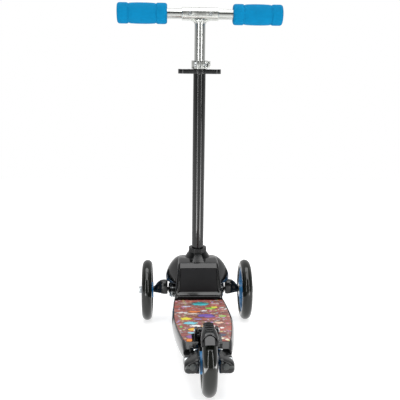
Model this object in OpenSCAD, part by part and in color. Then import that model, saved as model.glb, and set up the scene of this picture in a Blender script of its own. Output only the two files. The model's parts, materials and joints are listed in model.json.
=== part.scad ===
// Child's three-wheeled kick scooter that steers by leaning: two front wheels, one braked rear wheel.
// Millimetres. +Y is the way it rolls, +Z is up, the origin is on the floor under the middle of its length.

/* [Overall] */
// distance from the front axle to the rear axle
wheelbase = 408; // [380:1:490]
// distance between the middles of the front wheels
track = 196; // [192:1:236]
// front wheel diameter
front_wheel_d = 120; // [112:1:126]
// rear wheel diameter
rear_wheel_d = 90; // [84:1:94]
// width over the grips
bar_width = 290; // [242:1:350]
// tyre width
tyre_w = 20; // [16:1:20]

/* [Column] */
// lean of the column towards the rider, degrees
rake = 10.4; // [6:0.1:14]
// from the socket's mouth to the handlebar's axis
bar_reach = 428.6; // [416:1:514]
// outer tube diameter
outer_tube_d = 22.2;
// inner tube diameter
inner_tube_d = 19.05;
// wall of the inner tube
tube_wall = 1.4;
// height of the socket's mouth
mouth_z = 153.6;
// distance of the socket's mouth behind the front axle
mouth_back = 52.5;

/* [Handlebar] */
// half length of the cross sleeve
sleeve_half = 32;
// outside diameter of the cross sleeve
sleeve_d = 22;
// diameter of the two grip tubes
grip_tube_d = 17.5;
// foam grip diameter
grip_d = 36; // [30:1:38]
// foam grip length
grip_len = 87; // [72:1:100]
// distance of each snap button from the middle
button_x = 18;

/* [Deck] */
// top of the deck's rim
deck_top = 66;
// underside of the deck
deck_bottom = 38;
// wall of the deck moulding
deck_wall = 4;
// half width of the slot for the rear wheel
slot_half = 13;

/* [Steering] */
// distance of each kingpin from the middle
kingpin_x = 47;
// height of the kingpins' middle
kingpin_z = 63.5;
// forward lean of the kingpins, degrees
kingpin_lean = 25; // [15:1:30]
// length of the steering arms
arm_len = 26;

/* [Hidden] */
$fn = 48;

// small sizes used in several places
eps = 0.1;            // overshoot of a cut
gap = 0.3;            // clearance between bodies that pass each other
run = 0.05;           // radial clearance of a running fit
m8_r = 4;             // radius of an M8 shank
m8_head_r = 7.2;      // radius of an M8 hexagon
m8_head_h = 5;        // height of an M8 head
washer_r = 7.6;       // radius of an M8 washer
washer_t = 1.2;       // thickness of an M8 washer
screw_r = 2.2;        // radius of a screw's shank
screw_head_r = 4;     // radius of a screw's head
screw_head_h = 2.4;   // height of a screw's head

// places that follow from the sizes above
y_front = (wheelbase + rear_wheel_d / 2 - front_wheel_d / 2) / 2;
y_rear = y_front - wheelbase;
z_front = front_wheel_d / 2;
z_rear = rear_wheel_d / 2;
mouth_y = y_front - mouth_back;
deck_front_y = y_front - 90;
deck_rear_y = y_rear + 21.5;
deck_len = deck_front_y - deck_rear_y;

// deck outline: share of the length from the front, and half width there
deck_sides = [[0, 46], [0.16, 48.4], [0.337, 49.5], [0.506, 49.5], [0.61, 48.2], [0.708, 46],
    [0.8, 43], [0.877, 40.2], [0.944, 37], [1, 33.5]];

function deck_y(share) = deck_front_y - share * deck_len;
function edge(side, inset) = [for (p = deck_sides) [side * (p[1] - inset), deck_y(p[0])]];
function reversed(list) = [for (i = [len(list) - 1:-1:0]) list[i]];

// the deck's plan shape, drawn in by inset
module deck_outline(inset) {
    polygon(concat(edge(1, inset), reversed(edge(-1, inset))));
}

// puts children on the column's axis, at a distance along it from the socket's mouth
module on_column(along) {
    translate([0, mouth_y, mouth_z])
        rotate([rake, 0, 0])
            translate([0, 0, along])
                children();
}

// puts children on a kingpin, side is 1 for the right and -1 for the left
module on_kingpin(side) {
    translate([side * kingpin_x, y_front, kingpin_z])
        rotate([-kingpin_lean, 0, 0])
            children();
}

// puts children on the steering plane in the middle of the beam
module on_beam() {
    translate([0, y_front, kingpin_z])
        rotate([-kingpin_lean, 0, 0])
            children();
}

// a round bar along X from one place to another
module bar_x(x0, x1, r) {
    translate([min(x0, x1), 0, 0])
        rotate([0, 90, 0])
            cylinder(h = abs(x1 - x0), r = r);
}

// a block given by its lowest corner and its highest corner
module block(low, high) {
    translate(low)
        cube(high - low);
}

// ---------- deck ----------
neck_half = 30;       // half width of the neck under the hood
seat_half = 28;       // half width of the cross beam's seat
neck_top = 50;        // top of the neck
neck_front = 12;      // how far the neck passes the front axle
sheet_t = 1;          // thickness of the grip sheet
rim_w = 4;            // width of the rim round the sheet
rim_up = 1;           // how far the rim stands over the sheet
floor_t = 6;          // thickness of the deck's floor
rib_t = 3;            // thickness of the ribs
rib_pitch = 42;       // distance between cross ribs
rib_x = 20;           // distance of the two long ribs from the middle
pillar_half = 24;     // half width of the pillar under the socket
pillar_back = 24;     // how far the pillar reaches behind the socket's mouth
pillar_fwd = 16;      // how far the pillar reaches ahead of the socket's mouth
pillar_top = 84;      // top of the pillar
slot_y = y_rear + rear_wheel_d / 2 + 4.5;   // front end of the wheel slot
beam_half_y = 9;      // half depth of the cross beam
plate_in = 5.8;       // inner face of the beam's two plates
plate_out = 9.3;      // outer face of the beam's two plates
web_half = kingpin_x - 11.5;                // half length of the beam's solid middle

rear_slope = 8;       // how far the deck's rear edge slopes down

module deck_ribs() {
    intersection() {
        translate([0, 0, deck_bottom + rib_t])
            linear_extrude(deck_top - deck_bottom - floor_t - rib_t)
                deck_outline(deck_wall / 2);
        union() {
            for (i = [1:6])
                translate([-60, deck_front_y - i * rib_pitch, deck_bottom])
                    cube([120, rib_t, deck_top - deck_bottom - floor_t]);
            for (side = [-1, 1])
                translate([side * rib_x - rib_t / 2, deck_rear_y, deck_bottom])
                    cube([rib_t, deck_len, deck_top - deck_bottom - floor_t]);
        }
    }
}

module deck_shell() {
    color("#2b2d2e")
        difference() {
            union() {
                difference() {
                    translate([0, 0, deck_bottom])
                        linear_extrude(deck_top - deck_bottom)
                            deck_outline(0);
                    intersection() {
                        translate([0, 0, deck_bottom - eps])
                            linear_extrude(deck_top - deck_bottom - floor_t + eps)
                                deck_outline(deck_wall);
                        block([-60, deck_rear_y + deck_wall, 0],
                            [60, deck_front_y - deck_wall, deck_top]);
                    }
                }
                deck_ribs();
                // tail block that the axle housings and the brake bracket stand on
                block([-slot_half - 8, deck_rear_y, deck_bottom],
                    [slot_half + 8, slot_y + 20, deck_top - 2]);
                // neck and pillar under the hood
                block([-neck_half, deck_front_y - deck_wall - 2, deck_bottom],
                    [neck_half, y_front + neck_front, neck_top]);
                block([-pillar_half, mouth_y - pillar_back, neck_top - eps],
                    [pillar_half, mouth_y + pillar_fwd, pillar_top]);
                // seat for the cross beam
                on_beam()
                    block([-seat_half, -beam_half_y, -plate_out - 9], [seat_half, beam_half_y, -plate_out]);
            }
            // recess for the grip sheet
            translate([0, 0, deck_top - rim_up - sheet_t])
                linear_extrude(rim_up + sheet_t + eps)
                    sheet_outline();
            block([-slot_half, deck_rear_y - eps, deck_bottom - eps], [slot_half, slot_y, deck_top + eps]);
            // sloped rear edge
            translate([0, deck_rear_y, deck_top - rear_slope])
                rotate([45, 0, 0])
                    block([-60, -5, 0], [60, 20, 20]);
            // recess for the brake bracket's foot
            block([-slot_half - lug_t, slot_y - eps, deck_top - 2],
                [slot_half + lug_t, slot_y + 18, deck_top + eps]);
            screw_holes();
        }
}

// holes of the beam bolts, the socket's screws and the hood's screws
module screw_holes() {
    on_beam()
        for (side = [-1, 1])
            translate([side * beam_bolt_x, 0, -plate_out - 30])
                cylinder(h = 60, r = beam_bolt_r);
    for (side = [-1, 1], y = socket_screw_y)
        translate([side * socket_screw_x, y, pillar_top - 16])
            cylinder(h = 16 + eps, r = screw_r);
}

module sheet_outline() {
    difference() {
        intersection() {
            deck_outline(rim_w);
            translate([-60, deck_rear_y + rear_slope + 1])
                square([120, deck_len - 31 - rear_slope]);
        }
        translate([-slot_half - 8, deck_rear_y - 2 * eps])
            square([2 * slot_half + 16, slot_y + 20 - deck_rear_y]);
    }
}

module deck_grip_sheet() {
    color("#8c5f58")
        translate([0, 0, deck_top - rim_up - sheet_t])
            linear_extrude(sheet_t)
                sheet_outline();
}

// ---------- socket and hood ----------
socket_half = 16.5;   // half width of the octagon over its flats
flare_half = 20;      // half width of the collar's foot
collar_h = 14;        // height of the octagon
flare_h = 4;          // height of the foot
tube_depth = 66;      // how far the outer tube goes into the socket
base_t = 6;           // thickness of the socket's base
socket_screw_x = 20.2;
socket_screw_head_r = 3.2;
socket_screw_y = [mouth_y - pillar_back + 5, mouth_y + pillar_fwd - 5];
octagon = 1 / cos(22.5);                    // corner radius over flat radius

module octagon_bar(h, half) {
    rotate([0, 0, 22.5])
        cylinder(h = h, r = half * octagon, $fn = 8);
}

module socket() {
    color("#222425")
        difference() {
            union() {
                on_column(-collar_h)
                    octagon_bar(collar_h, socket_half);
                on_column(-collar_h - flare_h)
                    octagon_bar(flare_h, flare_half);
                on_column(-tube_depth)
                    cylinder(h = tube_depth - collar_h, r = socket_half);
                block([-pillar_half, mouth_y - pillar_back, pillar_top],
                    [pillar_half, mouth_y + pillar_fwd, pillar_top + base_t]);
            }
            on_column(-tube_depth + 4)
                cylinder(h = tube_depth, r = outer_tube_d / 2);
            for (side = [-1, 1], y = socket_screw_y)
                translate([side * socket_screw_x, y, pillar_top - eps])
                    cylinder(h = base_t + 2 * eps, r = screw_r);
        }
}

module socket_screws() {
    color("#b9bcbd")
        for (side = [-1, 1], y = socket_screw_y)
            translate([side * socket_screw_x, y, pillar_top - 14]) {
                cylinder(h = 14 + base_t + eps, r = screw_r);
                translate([0, 0, 14 + base_t])
                    cylinder(h = screw_head_h, r = socket_screw_head_r);
            }
}

// hood sections from the rear to the nose: place along Y, then the right half of the outline
hood_rear_y = deck_front_y - 6.5;           // rear face of the hood
skirt_z = 88;                               // lower edge of the hood over the wheels
hood_sections = [
    [hood_rear_y, [[44, deck_top], [44, 84], [41, 108], [39, 121], [33, 128.5]]],
    [mouth_y + 2, [[44, deck_top], [59, 88], [61, 94], [60, 104], [53.5, 116], [45, 129], [34, 136]]],
    [y_front + 8, [[50, 84], [55, 94], [54, 104], [46, 118], [32, 127]]],
    [y_front + 36, [[26, 62], [30, 76], [28, 92], [20, 102]]]];

module hood_body(inset) {
    hull()
        for (s = hood_sections)
            translate([0, s[0] + sign(s[0] - mouth_y - 2) * -inset + 0.5, 0])
                rotate([90, 0, 0])
                    linear_extrude(1)
                        polygon(concat([for (p = s[1]) [p[0] - inset, p[1] - inset]],
                            reversed([for (p = s[1]) [inset - p[0], p[1] - inset]])));
}

module front_hood() {
    color("#26282a")
        difference() {
            hood_body(0);
            hood_body(3);
            // open underneath, high over the knuckles and lower at the nose
            block([-80, deck_front_y + 16, 0], [80, y_front + 24, skirt_z]);
            block([-80, deck_front_y - 60, 0], [80, y_front + 60, deck_top]);
            on_column(-collar_h - flare_h - 10)
                cylinder(h = 60, r = flare_half * octagon + gap);
            for (side = [-1, 1])
                translate([side * hood_screw_x, hood_rear_y - 1, hood_screw_z])
                    rotate([-90, 0, 0])
                        cylinder(h = 9, r = screw_r);
        }
}

panel_half = 35;      // half width of the rear panel
panel_t = 3;          // thickness of the rear panel
panel_low = 77;       // lower edge of the rear panel
panel_high = 120;     // upper edge of the rear panel
hood_screw_x = 28;
hood_screw_z = 96;

module hood_panel() {
    color("#1b1c1e")
        difference() {
            block([-panel_half, hood_rear_y - 0.5 - panel_t, panel_low],
                [panel_half, hood_rear_y - 0.5, panel_high]);
            for (side = [-1, 1])
                translate([side * hood_screw_x, hood_rear_y - 10, hood_screw_z])
                    rotate([-90, 0, 0])
                        cylinder(h = 20, r = screw_r);
        }
}

// screws that hold the panel to the hood, driven from the rear
module hood_screws() {
    color("#1b1c1e")
        for (side = [-1, 1])
            translate([side * hood_screw_x, hood_rear_y - 0.5 - panel_t, hood_screw_z])
                rotate([-90, 0, 0]) {
                    cylinder(h = 9, r = screw_r);
                    translate([0, 0, -1.2])
                        cylinder(h = 1.2, r = screw_head_r);
                }
}

// ---------- column ----------
outer_top = 349;      // top of the outer tube
bore_r = inner_tube_d / 2 + run;            // the outer tube's bore
inner_low = 160;      // bottom of the inner tube
head_low = bar_reach - 16;                  // lower edge of the T-head
holder_s = 326;       // lower face of the grip holder
holder_h = 8;         // height of the grip holder
hook_x = 27.6;        // distance of each hook from the middle
hook_r = 8.8;         // inside radius of each hook
hook_wall = 2;        // wall of each hook
clamp_s = 335;        // lower face of the clamp
clamp_h = 14;         // height of the clamp
clamp_r = 14.5;       // outside radius of the clamp
ear_y = 19;           // distance of the clamp's bolt behind the axis
ear_half = 6;         // half width over the ears
clamp_bolt_r = 2.5;

module outer_tube() {
    color("#17191a")
        on_column(-tube_depth + 4)
            difference() {
                cylinder(h = outer_top + tube_depth - 4, r = outer_tube_d / 2);
                translate([0, 0, -eps])
                    cylinder(h = outer_top + tube_depth - 4 + 2 * eps, r = bore_r);
                // slot that lets the clamp squeeze the tube
                translate([-0.8, -outer_tube_d, outer_top + tube_depth - 4 - 24])
                    cube([1.6, outer_tube_d, 24 + eps]);
            }
}

module grip_holder() {
    color("#202223")
        on_column(holder_s)
            difference() {
                union() {
                    cylinder(h = holder_h, r = 15);
                    for (side = [-1, 1])
                        translate([side * hook_x, 0, 0])
                            cylinder(h = holder_h, r = hook_r + hook_wall);
                    block([-hook_x, -hook_r - hook_wall, 0], [hook_x, -hook_r, holder_h]);
                }
                translate([0, 0, -eps])
                    cylinder(h = holder_h + 2 * eps, r = outer_tube_d / 2);
                for (side = [-1, 1]) {
                    translate([side * hook_x, 0, -eps])
                        cylinder(h = holder_h + 2 * eps, r = hook_r);
                    // mouth of the hook, narrower than the tube it grips
                    block([side * hook_x - hook_r * 0.75, 0, -eps],
                        [side * hook_x + hook_r * 0.75, 30, holder_h + eps]);
                }
            }
}

module clamp_collar() {
    color("#c9cccd")
        on_column(clamp_s)
            difference() {
                union() {
                    cylinder(h = clamp_h, r = clamp_r);
                    block([-ear_half, -ear_y - 5, 0], [ear_half, 0, clamp_h]);
                }
                translate([0, 0, -eps])
                    cylinder(h = clamp_h + 2 * eps, r = outer_tube_d / 2);
                block([-0.8, -40, -eps], [0.8, 0, clamp_h + eps]);
                translate([0, -ear_y, clamp_h / 2])
                    bar_x(-20, 20, clamp_bolt_r);
            }
}

lever_x = 10.5;       // distance of the lever's pin from the middle
lever_pin_r = 2;
cam_r = 4.2;          // radius of the lever's round end
lever_out = 18.4;     // outer face of the lever

module clamp_bolt() {
    color("#b9bcbd")
        on_column(clamp_s + clamp_h / 2)
            translate([0, -ear_y, 0]) {
                bar_x(-ear_half - 4, lever_x - lever_pin_r - run, clamp_bolt_r);
                bar_x(-ear_half - 4, -ear_half, 4.5);
            }
}

module clamp_lever() {
    color("#c9cccd")
        on_column(clamp_s + 1)
            difference() {
                union() {
                    translate([lever_x, -ear_y, 0])
                        cylinder(h = clamp_h - 2, r = cam_r);
                    block([lever_x, -ear_y, 0], [lever_x + cam_r, -11, clamp_h - 2]);
                    block([lever_x + 2, -14, 0], [lever_out, -9.6, clamp_h - 2]);
                    block([clamp_r + 0.4, -10, 0], [lever_out, 20, clamp_h - 2]);
                    translate([(clamp_r + 0.4 + lever_out) / 2, 20, 0])
                        cylinder(h = clamp_h - 2, r = (lever_out - clamp_r - 0.4) / 2);
                }
                translate([lever_x, -ear_y, -eps])
                    cylinder(h = clamp_h, r = lever_pin_r + run);
                // slot for the clamp's bolt, cleared for the lever's whole swing
                translate([lever_x, -ear_y, clamp_h / 2 - 1 - clamp_bolt_r - gap])
                    difference() {
                        cylinder(h = 2 * (clamp_bolt_r + gap), r = cam_r + eps);
                        translate([lever_pin_r + 1, -10, -eps])
                            cube([20, 20, 20]);
                    }
            }
}

module lever_pin() {
    color("#b9bcbd")
        on_column(clamp_s + 0.6)
            translate([lever_x, -ear_y, 0])
                cylinder(h = clamp_h - 1.2, r = lever_pin_r);
}

module inner_tube() {
    color("#d7d9da")
        on_column(inner_low)
            difference() {
                cylinder(h = bar_reach - 9 - inner_low, r = inner_tube_d / 2);
                translate([0, 0, -eps])
                    cylinder(h = bar_reach - inner_low, r = inner_tube_d / 2 - tube_wall);
            }
}

button_r = 3;

module button_hole(side, r) {
    translate([side * button_x, 0, 0])
        rotate([90, 0, 0])
            cylinder(h = 30, r = r);
}

module t_head() {
    color("#dadcdd")
        on_column(bar_reach)
            difference() {
                union() {
                    bar_x(-sleeve_half, sleeve_half, sleeve_d / 2);
                    translate([0, 0, -12])
                        cylinder(h = 12, r = inner_tube_d / 2 + 1.6);
                    translate([0, 0, -16])
                        cylinder(h = 4, r1 = inner_tube_d / 2 + 0.4, r2 = inner_tube_d / 2 + 1.6);
                }
                bar_x(-sleeve_half - eps, sleeve_half + eps, grip_tube_d / 2);
                translate([0, 0, -16 - eps])
                    cylinder(h = 16, r = inner_tube_d / 2);
                for (side = [-1, 1])
                    button_hole(side, button_r + run);
            }
}

tube_in = 4;          // inner end of the grip tubes, from the middle
tube_end = bar_width / 2 - 2;

module grip_tubes() {
    color("#d2d4d5")
        on_column(bar_reach)
            for (side = [-1, 1])
                difference() {
                    bar_x(side * tube_in, side * tube_end, grip_tube_d / 2);
                    bar_x(side * (tube_in - eps), side * (tube_end + eps), grip_tube_d / 2 - tube_wall);
                    button_hole(side, button_r + run);
                }
}

module grip(side) {
    color("#058dc8")
        on_column(bar_reach)
            difference() {
                bar_x(side * (bar_width / 2 - grip_len), side * bar_width / 2, grip_d / 2);
                bar_x(side * (bar_width / 2 - grip_len - eps), side * (bar_width / 2 + eps),
                    grip_tube_d / 2 + eps);
            }
}

module grip_left() {
    grip(-1);
}

module grip_right() {
    grip(1);
}

module end_plugs() {
    color("#202223")
        on_column(bar_reach)
            for (side = [-1, 1]) {
                bar_x(side * (tube_end - 12), side * (tube_end + 1.6), grip_tube_d / 2 - tube_wall);
                bar_x(side * tube_end, side * (tube_end + 1.6), grip_tube_d / 2);
            }
}

button_seat = grip_tube_d / 2 - tube_wall;  // radius that the button's foot rests on
foot_t = 1.2;         // thickness of the button's foot

module button(side) {
    color("#b9bcbd")
        on_column(bar_reach)
            translate([side * button_x, 0, 0])
                rotate([90, 0, 0]) {
                    translate([0, 0, button_seat - 3])
                        cylinder(h = sleeve_d / 2 + 2 - button_seat + 3, r = button_r);
                    translate([0, 0, button_seat - 3])
                        cylinder(h = foot_t, r = button_r + 1);
                }
}

module button_left() {
    button(-1);
}

module button_right() {
    button(1);
}

// bent strips inside the grip tubes that push the buttons out
module button_springs() {
    color("#a4a7a8")
        on_column(bar_reach)
            for (side = [-1, 1])
                intersection() {
                    difference() {
                        bar_x(side * 8, side * 36, button_seat);
                        bar_x(side * 7, side * 37, button_seat - 0.8);
                    }
                    block([-60, 0, -3], [60, 20, 3]);
                }
}

// ---------- steering ----------
beam_bolt_x = 18;
beam_bolt_r = 3;
barrel_r = 7.2;       // radius of the knuckle's barrel
barrel_half = 5.5;    // half height of the knuckle's barrel
bush_r = 5.5;         // outside radius of the kingpin bush
spring_ring_r = 8.6;  // radius of a centring spring's coil
spring_wire_r = 0.8;

module cross_beam() {
    color("#34373a")
        on_beam()
            difference() {
                union() {
                    block([-web_half, -beam_half_y, -plate_out], [web_half, beam_half_y, plate_out]);
                    for (side = [-1, 1], low = [-plate_out, plate_in]) {
                        translate([side * kingpin_x, 0, low])
                            cylinder(h = plate_out - plate_in, r = beam_half_y);
                        translate([side > 0 ? 0 : -kingpin_x, -beam_half_y, low])
                            cube([kingpin_x, 2 * beam_half_y, plate_out - plate_in]);
                    }
                }
                for (side = [-1, 1]) {
                    translate([side * kingpin_x, 0, -20])
                        cylinder(h = 40, r = m8_r);
                    translate([side * beam_bolt_x, 0, -20])
                        cylinder(h = 40, r = beam_bolt_r);
                }
            }
}

module beam_bolts() {
    color("#b9bcbd")
        on_beam()
            for (side = [-1, 1])
                translate([side * beam_bolt_x, 0, -plate_out - 8]) {
                    cylinder(h = 2 * plate_out + 8 + eps, r = beam_bolt_r);
                    translate([0, 0, 2 * plate_out + 8])
                        cylinder(h = 4, r = 5.6, $fn = 6);
                }
}

module kingpin_bolts() {
    color("#c2c5c6")
        for (side = [-1, 1])
            on_kingpin(side) {
                translate([0, 0, -plate_out - 9])
                    cylinder(h = 2 * plate_out + 9 + washer_t + eps, r = m8_r);
                translate([0, 0, plate_out + washer_t])
                    cylinder(h = m8_head_h, r = m8_head_r, $fn = 6);
            }
}

module kingpin_washers() {
    color("#c2c5c6")
        for (side = [-1, 1])
            on_kingpin(side)
                for (low = [-plate_out - washer_t, plate_out])
                    translate([0, 0, low])
                        difference() {
                            cylinder(h = washer_t, r = washer_r);
                            translate([0, 0, -eps])
                                cylinder(h = washer_t + 2 * eps, r = m8_r);
                        }
}

module kingpin_nuts() {
    color("#c2c5c6")
        for (side = [-1, 1])
            on_kingpin(side)
                translate([0, 0, -plate_out - washer_t - 6.5])
                    difference() {
                        cylinder(h = 6.5, r = m8_head_r, $fn = 6);
                        translate([0, 0, -eps])
                            cylinder(h = 7, r = m8_r);
                    }
}

// two coils round each barrel, held in the beam by their inner legs
module centring_springs() {
    color("#8d9091")
        for (side = [-1, 1])
            on_kingpin(side) {
                for (up = [2.6, 4.6])
                    translate([0, 0, up])
                        rotate_extrude()
                            translate([spring_ring_r, 0])
                                circle(r = spring_wire_r);
                translate([-side * spring_ring_r, 0, 2.6])
                    cylinder(h = 2, r = spring_wire_r);
                translate([0, 0, 3.6])
                    bar_x(-side * spring_ring_r, -side * 11.5, spring_wire_r);
            }
}

hub_face = track / 2 - 12.4;                // end of the knuckle's boss, from the middle
shoulder_x = kingpin_x + 10.6;              // inner face of the knuckle's cup
cup_z = 66.4;         // height of the cup's middle

module knuckle(side) {
    color("#2c2e30")
        difference() {
            union() {
                on_kingpin(side) {
                    translate([0, 0, -barrel_half])
                        cylinder(h = 2 * barrel_half, r = barrel_r);
                    block([side > 0 ? 0 : -14, -6.5, -barrel_half], [side > 0 ? 14 : 0, 6.5, 1]);
                    block([-5, -arm_len, -barrel_half], [5, 0, 1]);
                    translate([0, -arm_len, -barrel_half])
                        cylinder(h = barrel_half + 1, r = 6);
                }
                // cup that carries the axle
                hull() {
                    translate([0, y_front, cup_z])
                        bar_x(side * (shoulder_x + 5), side * (shoulder_x + 11), 14, $fn = 32);
                    translate([0, y_front, z_front + 1.4])
                        bar_x(side * (hub_face - 3), side * hub_face, 6, $fn = 32);
                }
                hull() {
                    translate([0, y_front, cup_z])
                        bar_x(side * (shoulder_x + 5), side * (shoulder_x + 9), 14, $fn = 32);
                    translate([0, y_front, cup_z - 2])
                        bar_x(side * shoulder_x, side * (shoulder_x + 1), 11.5, $fn = 32);
                }
                translate([0, y_front, z_front])
                    bar_x(side * (hub_face - 8), side * hub_face, 6.2);
            }
            on_kingpin(side)
                translate([0, 0, -20])
                    cylinder(h = 40, r = bush_r);
            on_kingpin(side)
                translate([0, -arm_len, -20])
                    cylinder(h = 40, r = 3);
            // clears the beam's plates and the spring over the arm
            on_kingpin(side)
                translate([0, 0, 1])
                    difference() {
                        cylinder(h = 12, r = 10.2);
                        translate([0, 0, -eps])
                            cylinder(h = barrel_half - 1 + eps, r = barrel_r);
                    }
            on_kingpin(side)
                translate([0, 0, -20])
                    cylinder(h = 20 - barrel_half, r = 10.2);
            translate([0, y_front, z_front])
                bar_x(side * (shoulder_x + 6), side * (hub_face + 1), m8_r);
        }
}

module knuckle_left() {
    knuckle(-1);
}

module knuckle_right() {
    knuckle(1);
}

module kingpin_bush(side) {
    color("#d8d3c2")
        on_kingpin(side)
            translate([0, 0, -barrel_half])
                difference() {
                    cylinder(h = 2 * barrel_half, r = bush_r);
                    translate([0, 0, -eps])
                        cylinder(h = 2 * barrel_half + 2 * eps, r = m8_r + run);
                }
}

module kingpin_bush_left() {
    kingpin_bush(-1);
}

module kingpin_bush_right() {
    kingpin_bush(1);
}

hub_out = track / 2 + 11.8;                 // outer face of a front wheel's hub

module axle_bolt(side) {
    color("#c2c5c6")
        translate([0, y_front, z_front]) {
            bar_x(side * (shoulder_x + 6), side * (hub_out + gap + eps), m8_r);
            translate([side * (hub_out + gap), 0, 0])
                rotate([0, side * 90, 0])
                    cylinder(h = m8_head_h, r = m8_head_r, $fn = 6);
        }
}

module axle_bolt_left() {
    axle_bolt(-1);
}

module axle_bolt_right() {
    axle_bolt(1);
}

rod_low = 1.3;        // lower face of the tie rod, over the steering plane
rod_high = 5.6;       // upper face of the tie rod

module tie_pin(side) {
    color("#c2c5c6")
        on_kingpin(side)
            translate([0, -arm_len, 0]) {
                translate([0, 0, -barrel_half - 1])
                    cylinder(h = barrel_half + rod_high + 1 + gap + eps, r = 3);
                translate([0, 0, rod_high + gap])
                    cylinder(h = 1.6, r = 4.6);
            }
}

module tie_pin_left() {
    tie_pin(-1);
}

module tie_pin_right() {
    tie_pin(1);
}

module tie_rod() {
    color("#3a3d40")
        on_beam()
            translate([0, -arm_len, rod_low])
                difference() {
                    union() {
                        block([-kingpin_x, -4, 0], [kingpin_x, 4, rod_high - rod_low]);
                        for (side = [-1, 1])
                            translate([side * kingpin_x, 0, 0])
                                cylinder(h = rod_high - rod_low, r = 6);
                    }
                    for (side = [-1, 1])
                        translate([side * kingpin_x, 0, -eps])
                            cylinder(h = 10, r = 3 + run);
                }
}

// ---------- wheels ----------
tread = 15;           // depth of a tyre
rim_ring = 7;         // depth of the core's rim
core_half = 7;        // half width of the core's rim
hub_r = 15;           // radius of the core's hub
bearing_r = 11;
bearing_w = 7;

// tyre section turned about X: flat sides and a round tread
module tyre(d) {
    color("#3a3b3a")
        rotate([0, 90, 0])
            rotate_extrude($fn = 96)
                difference() {
                    union() {
                        translate([d / 2 - tyre_w / 2, 0])
                            circle(r = tyre_w / 2);
                        translate([d / 2 - tread, -tyre_w / 2])
                            square([tread - tyre_w / 2, tyre_w]);
                    }
                    // groove that seats on the core
                    translate([d / 2 - tread - eps, -core_half + 2])
                        square([2 + eps, 2 * core_half - 4]);
                    translate([0, -tyre_w])
                        square([d / 2 - tread, 2 * tyre_w]);
                }
}

// core with a hub that reaches from low to high along X, and five windows
module core(d, low, high) {
    color("#1f7fb4")
        difference() {
            rotate([0, 90, 0])
                rotate_extrude($fn = 96)
                    union() {
                        translate([bearing_r, low])
                            square([hub_r - bearing_r, high - low]);
                        translate([bearing_r, -2.5])
                            square([d / 2 - tread - bearing_r, 5]);
                        translate([d / 2 - tread - rim_ring, -core_half])
                            square([rim_ring, 2 * core_half]);
                        translate([d / 2 - tread - 1, -core_half + 2])
                            square([3, 2 * core_half - 4]);
                    }
            for (i = [0:4])
                rotate([i * 72, 0, 0])
                    translate([0, 0, (d / 2 - tread - rim_ring + hub_r) / 2])
                        bar_x(-10, 10, max(2.5, (d / 2 - tread - rim_ring - hub_r) / 2 - 1.5));
        }
}

// two bearings and the spacer between them, as separate rings
module bearings(low, high) {
    color("#a9acae")
        for (span = [[low, low + bearing_w], [high - bearing_w, high]])
            difference() {
                bar_x(span[0], span[1], bearing_r);
                bar_x(span[0] - eps, span[1] + eps, m8_r + run);
            }
    color("#d8dadb")
        difference() {
            bar_x(low + bearing_w, high - bearing_w, 6);
            bar_x(low, high, m8_r + run);
        }
}

hub_in = track / 2 - hub_face - gap - eps;  // half width of a front hub on its inner side
hub_outer = hub_out - track / 2;            // half width of a front hub on its outer side
rear_hub = slot_half - 1.1;                 // half width of the rear hub

module tyre_front_left() {
    translate([-track / 2, y_front, z_front])
        tyre(front_wheel_d);
}

module tyre_front_right() {
    translate([track / 2, y_front, z_front])
        tyre(front_wheel_d);
}

module tyre_rear() {
    translate([0, y_rear, z_rear])
        tyre(rear_wheel_d);
}

module core_front_left() {
    translate([-track / 2, y_front, z_front])
        mirror([1, 0, 0])
            core(front_wheel_d, -hub_outer, hub_in);
}

module core_front_right() {
    translate([track / 2, y_front, z_front])
        core(front_wheel_d, -hub_outer, hub_in);
}

module core_rear() {
    translate([0, y_rear, z_rear])
        core(rear_wheel_d, -rear_hub, rear_hub);
}

module bearings_front_left() {
    translate([-track / 2, y_front, z_front])
        bearings(-hub_outer, hub_in);
}

module bearings_front_right() {
    translate([track / 2, y_front, z_front])
        bearings(-hub_in, hub_outer);
}

module bearings_rear() {
    translate([0, y_rear, z_rear])
        bearings(-rear_hub, rear_hub);
}

// ---------- rear axle ----------
housing_half = 33.5;  // outer face of the axle housings
housing_low = 36;     // underside of the axle housings
housing_high = 57;    // top of the axle housings
housing_back = 22;    // how far the housings pass the rear axle
housing_round = 8;    // radius of the housings' corners
recess_x = 27;        // floor of the recess for the bolt's head and nut
recess_r = 8;

module axle_housings() {
    color("#292b2c")
        for (side = [-1, 1])
            translate([side > 0 ? slot_half : -housing_half, 0, 0])
                difference() {
                    union() {
                        block([0, y_rear - housing_back, housing_low + housing_round],
                            [housing_half - slot_half, deck_rear_y, housing_high - housing_round]);
                        block([0, y_rear - housing_back + housing_round, housing_low],
                            [housing_half - slot_half, y_rear + 10, housing_high]);
                        block([0, y_rear, deck_bottom],
                            [housing_half - slot_half, deck_rear_y, housing_high]);
                        for (z = [housing_low + housing_round, housing_high - housing_round])
                            translate([0, y_rear - housing_back + housing_round, z])
                                bar_x(0, housing_half - slot_half, housing_round);
                    }
                    translate([0, y_rear, z_rear]) {
                        bar_x(-eps, housing_half, m8_r);
                        bar_x(side > 0 ? recess_x - slot_half : -eps,
                            side > 0 ? housing_half : housing_half - recess_x, recess_r);
                    }
                }
}

module rear_axle_bolt() {
    color("#c2c5c6")
        translate([0, y_rear, z_rear]) {
            bar_x(-recess_x - 6, recess_x + eps, m8_r);
            translate([recess_x, 0, 0])
                rotate([0, 90, 0])
                    cylinder(h = m8_head_h, r = m8_head_r, $fn = 6);
        }
}

module rear_axle_nut() {
    color("#c2c5c6")
        translate([-recess_x - 5.5, y_rear, z_rear])
            rotate([0, 90, 0])
                difference() {
                    cylinder(h = 5.5, r = m8_head_r, $fn = 6);
                    translate([0, 0, -eps])
                        cylinder(h = 6, r = m8_r);
                }
}

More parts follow.
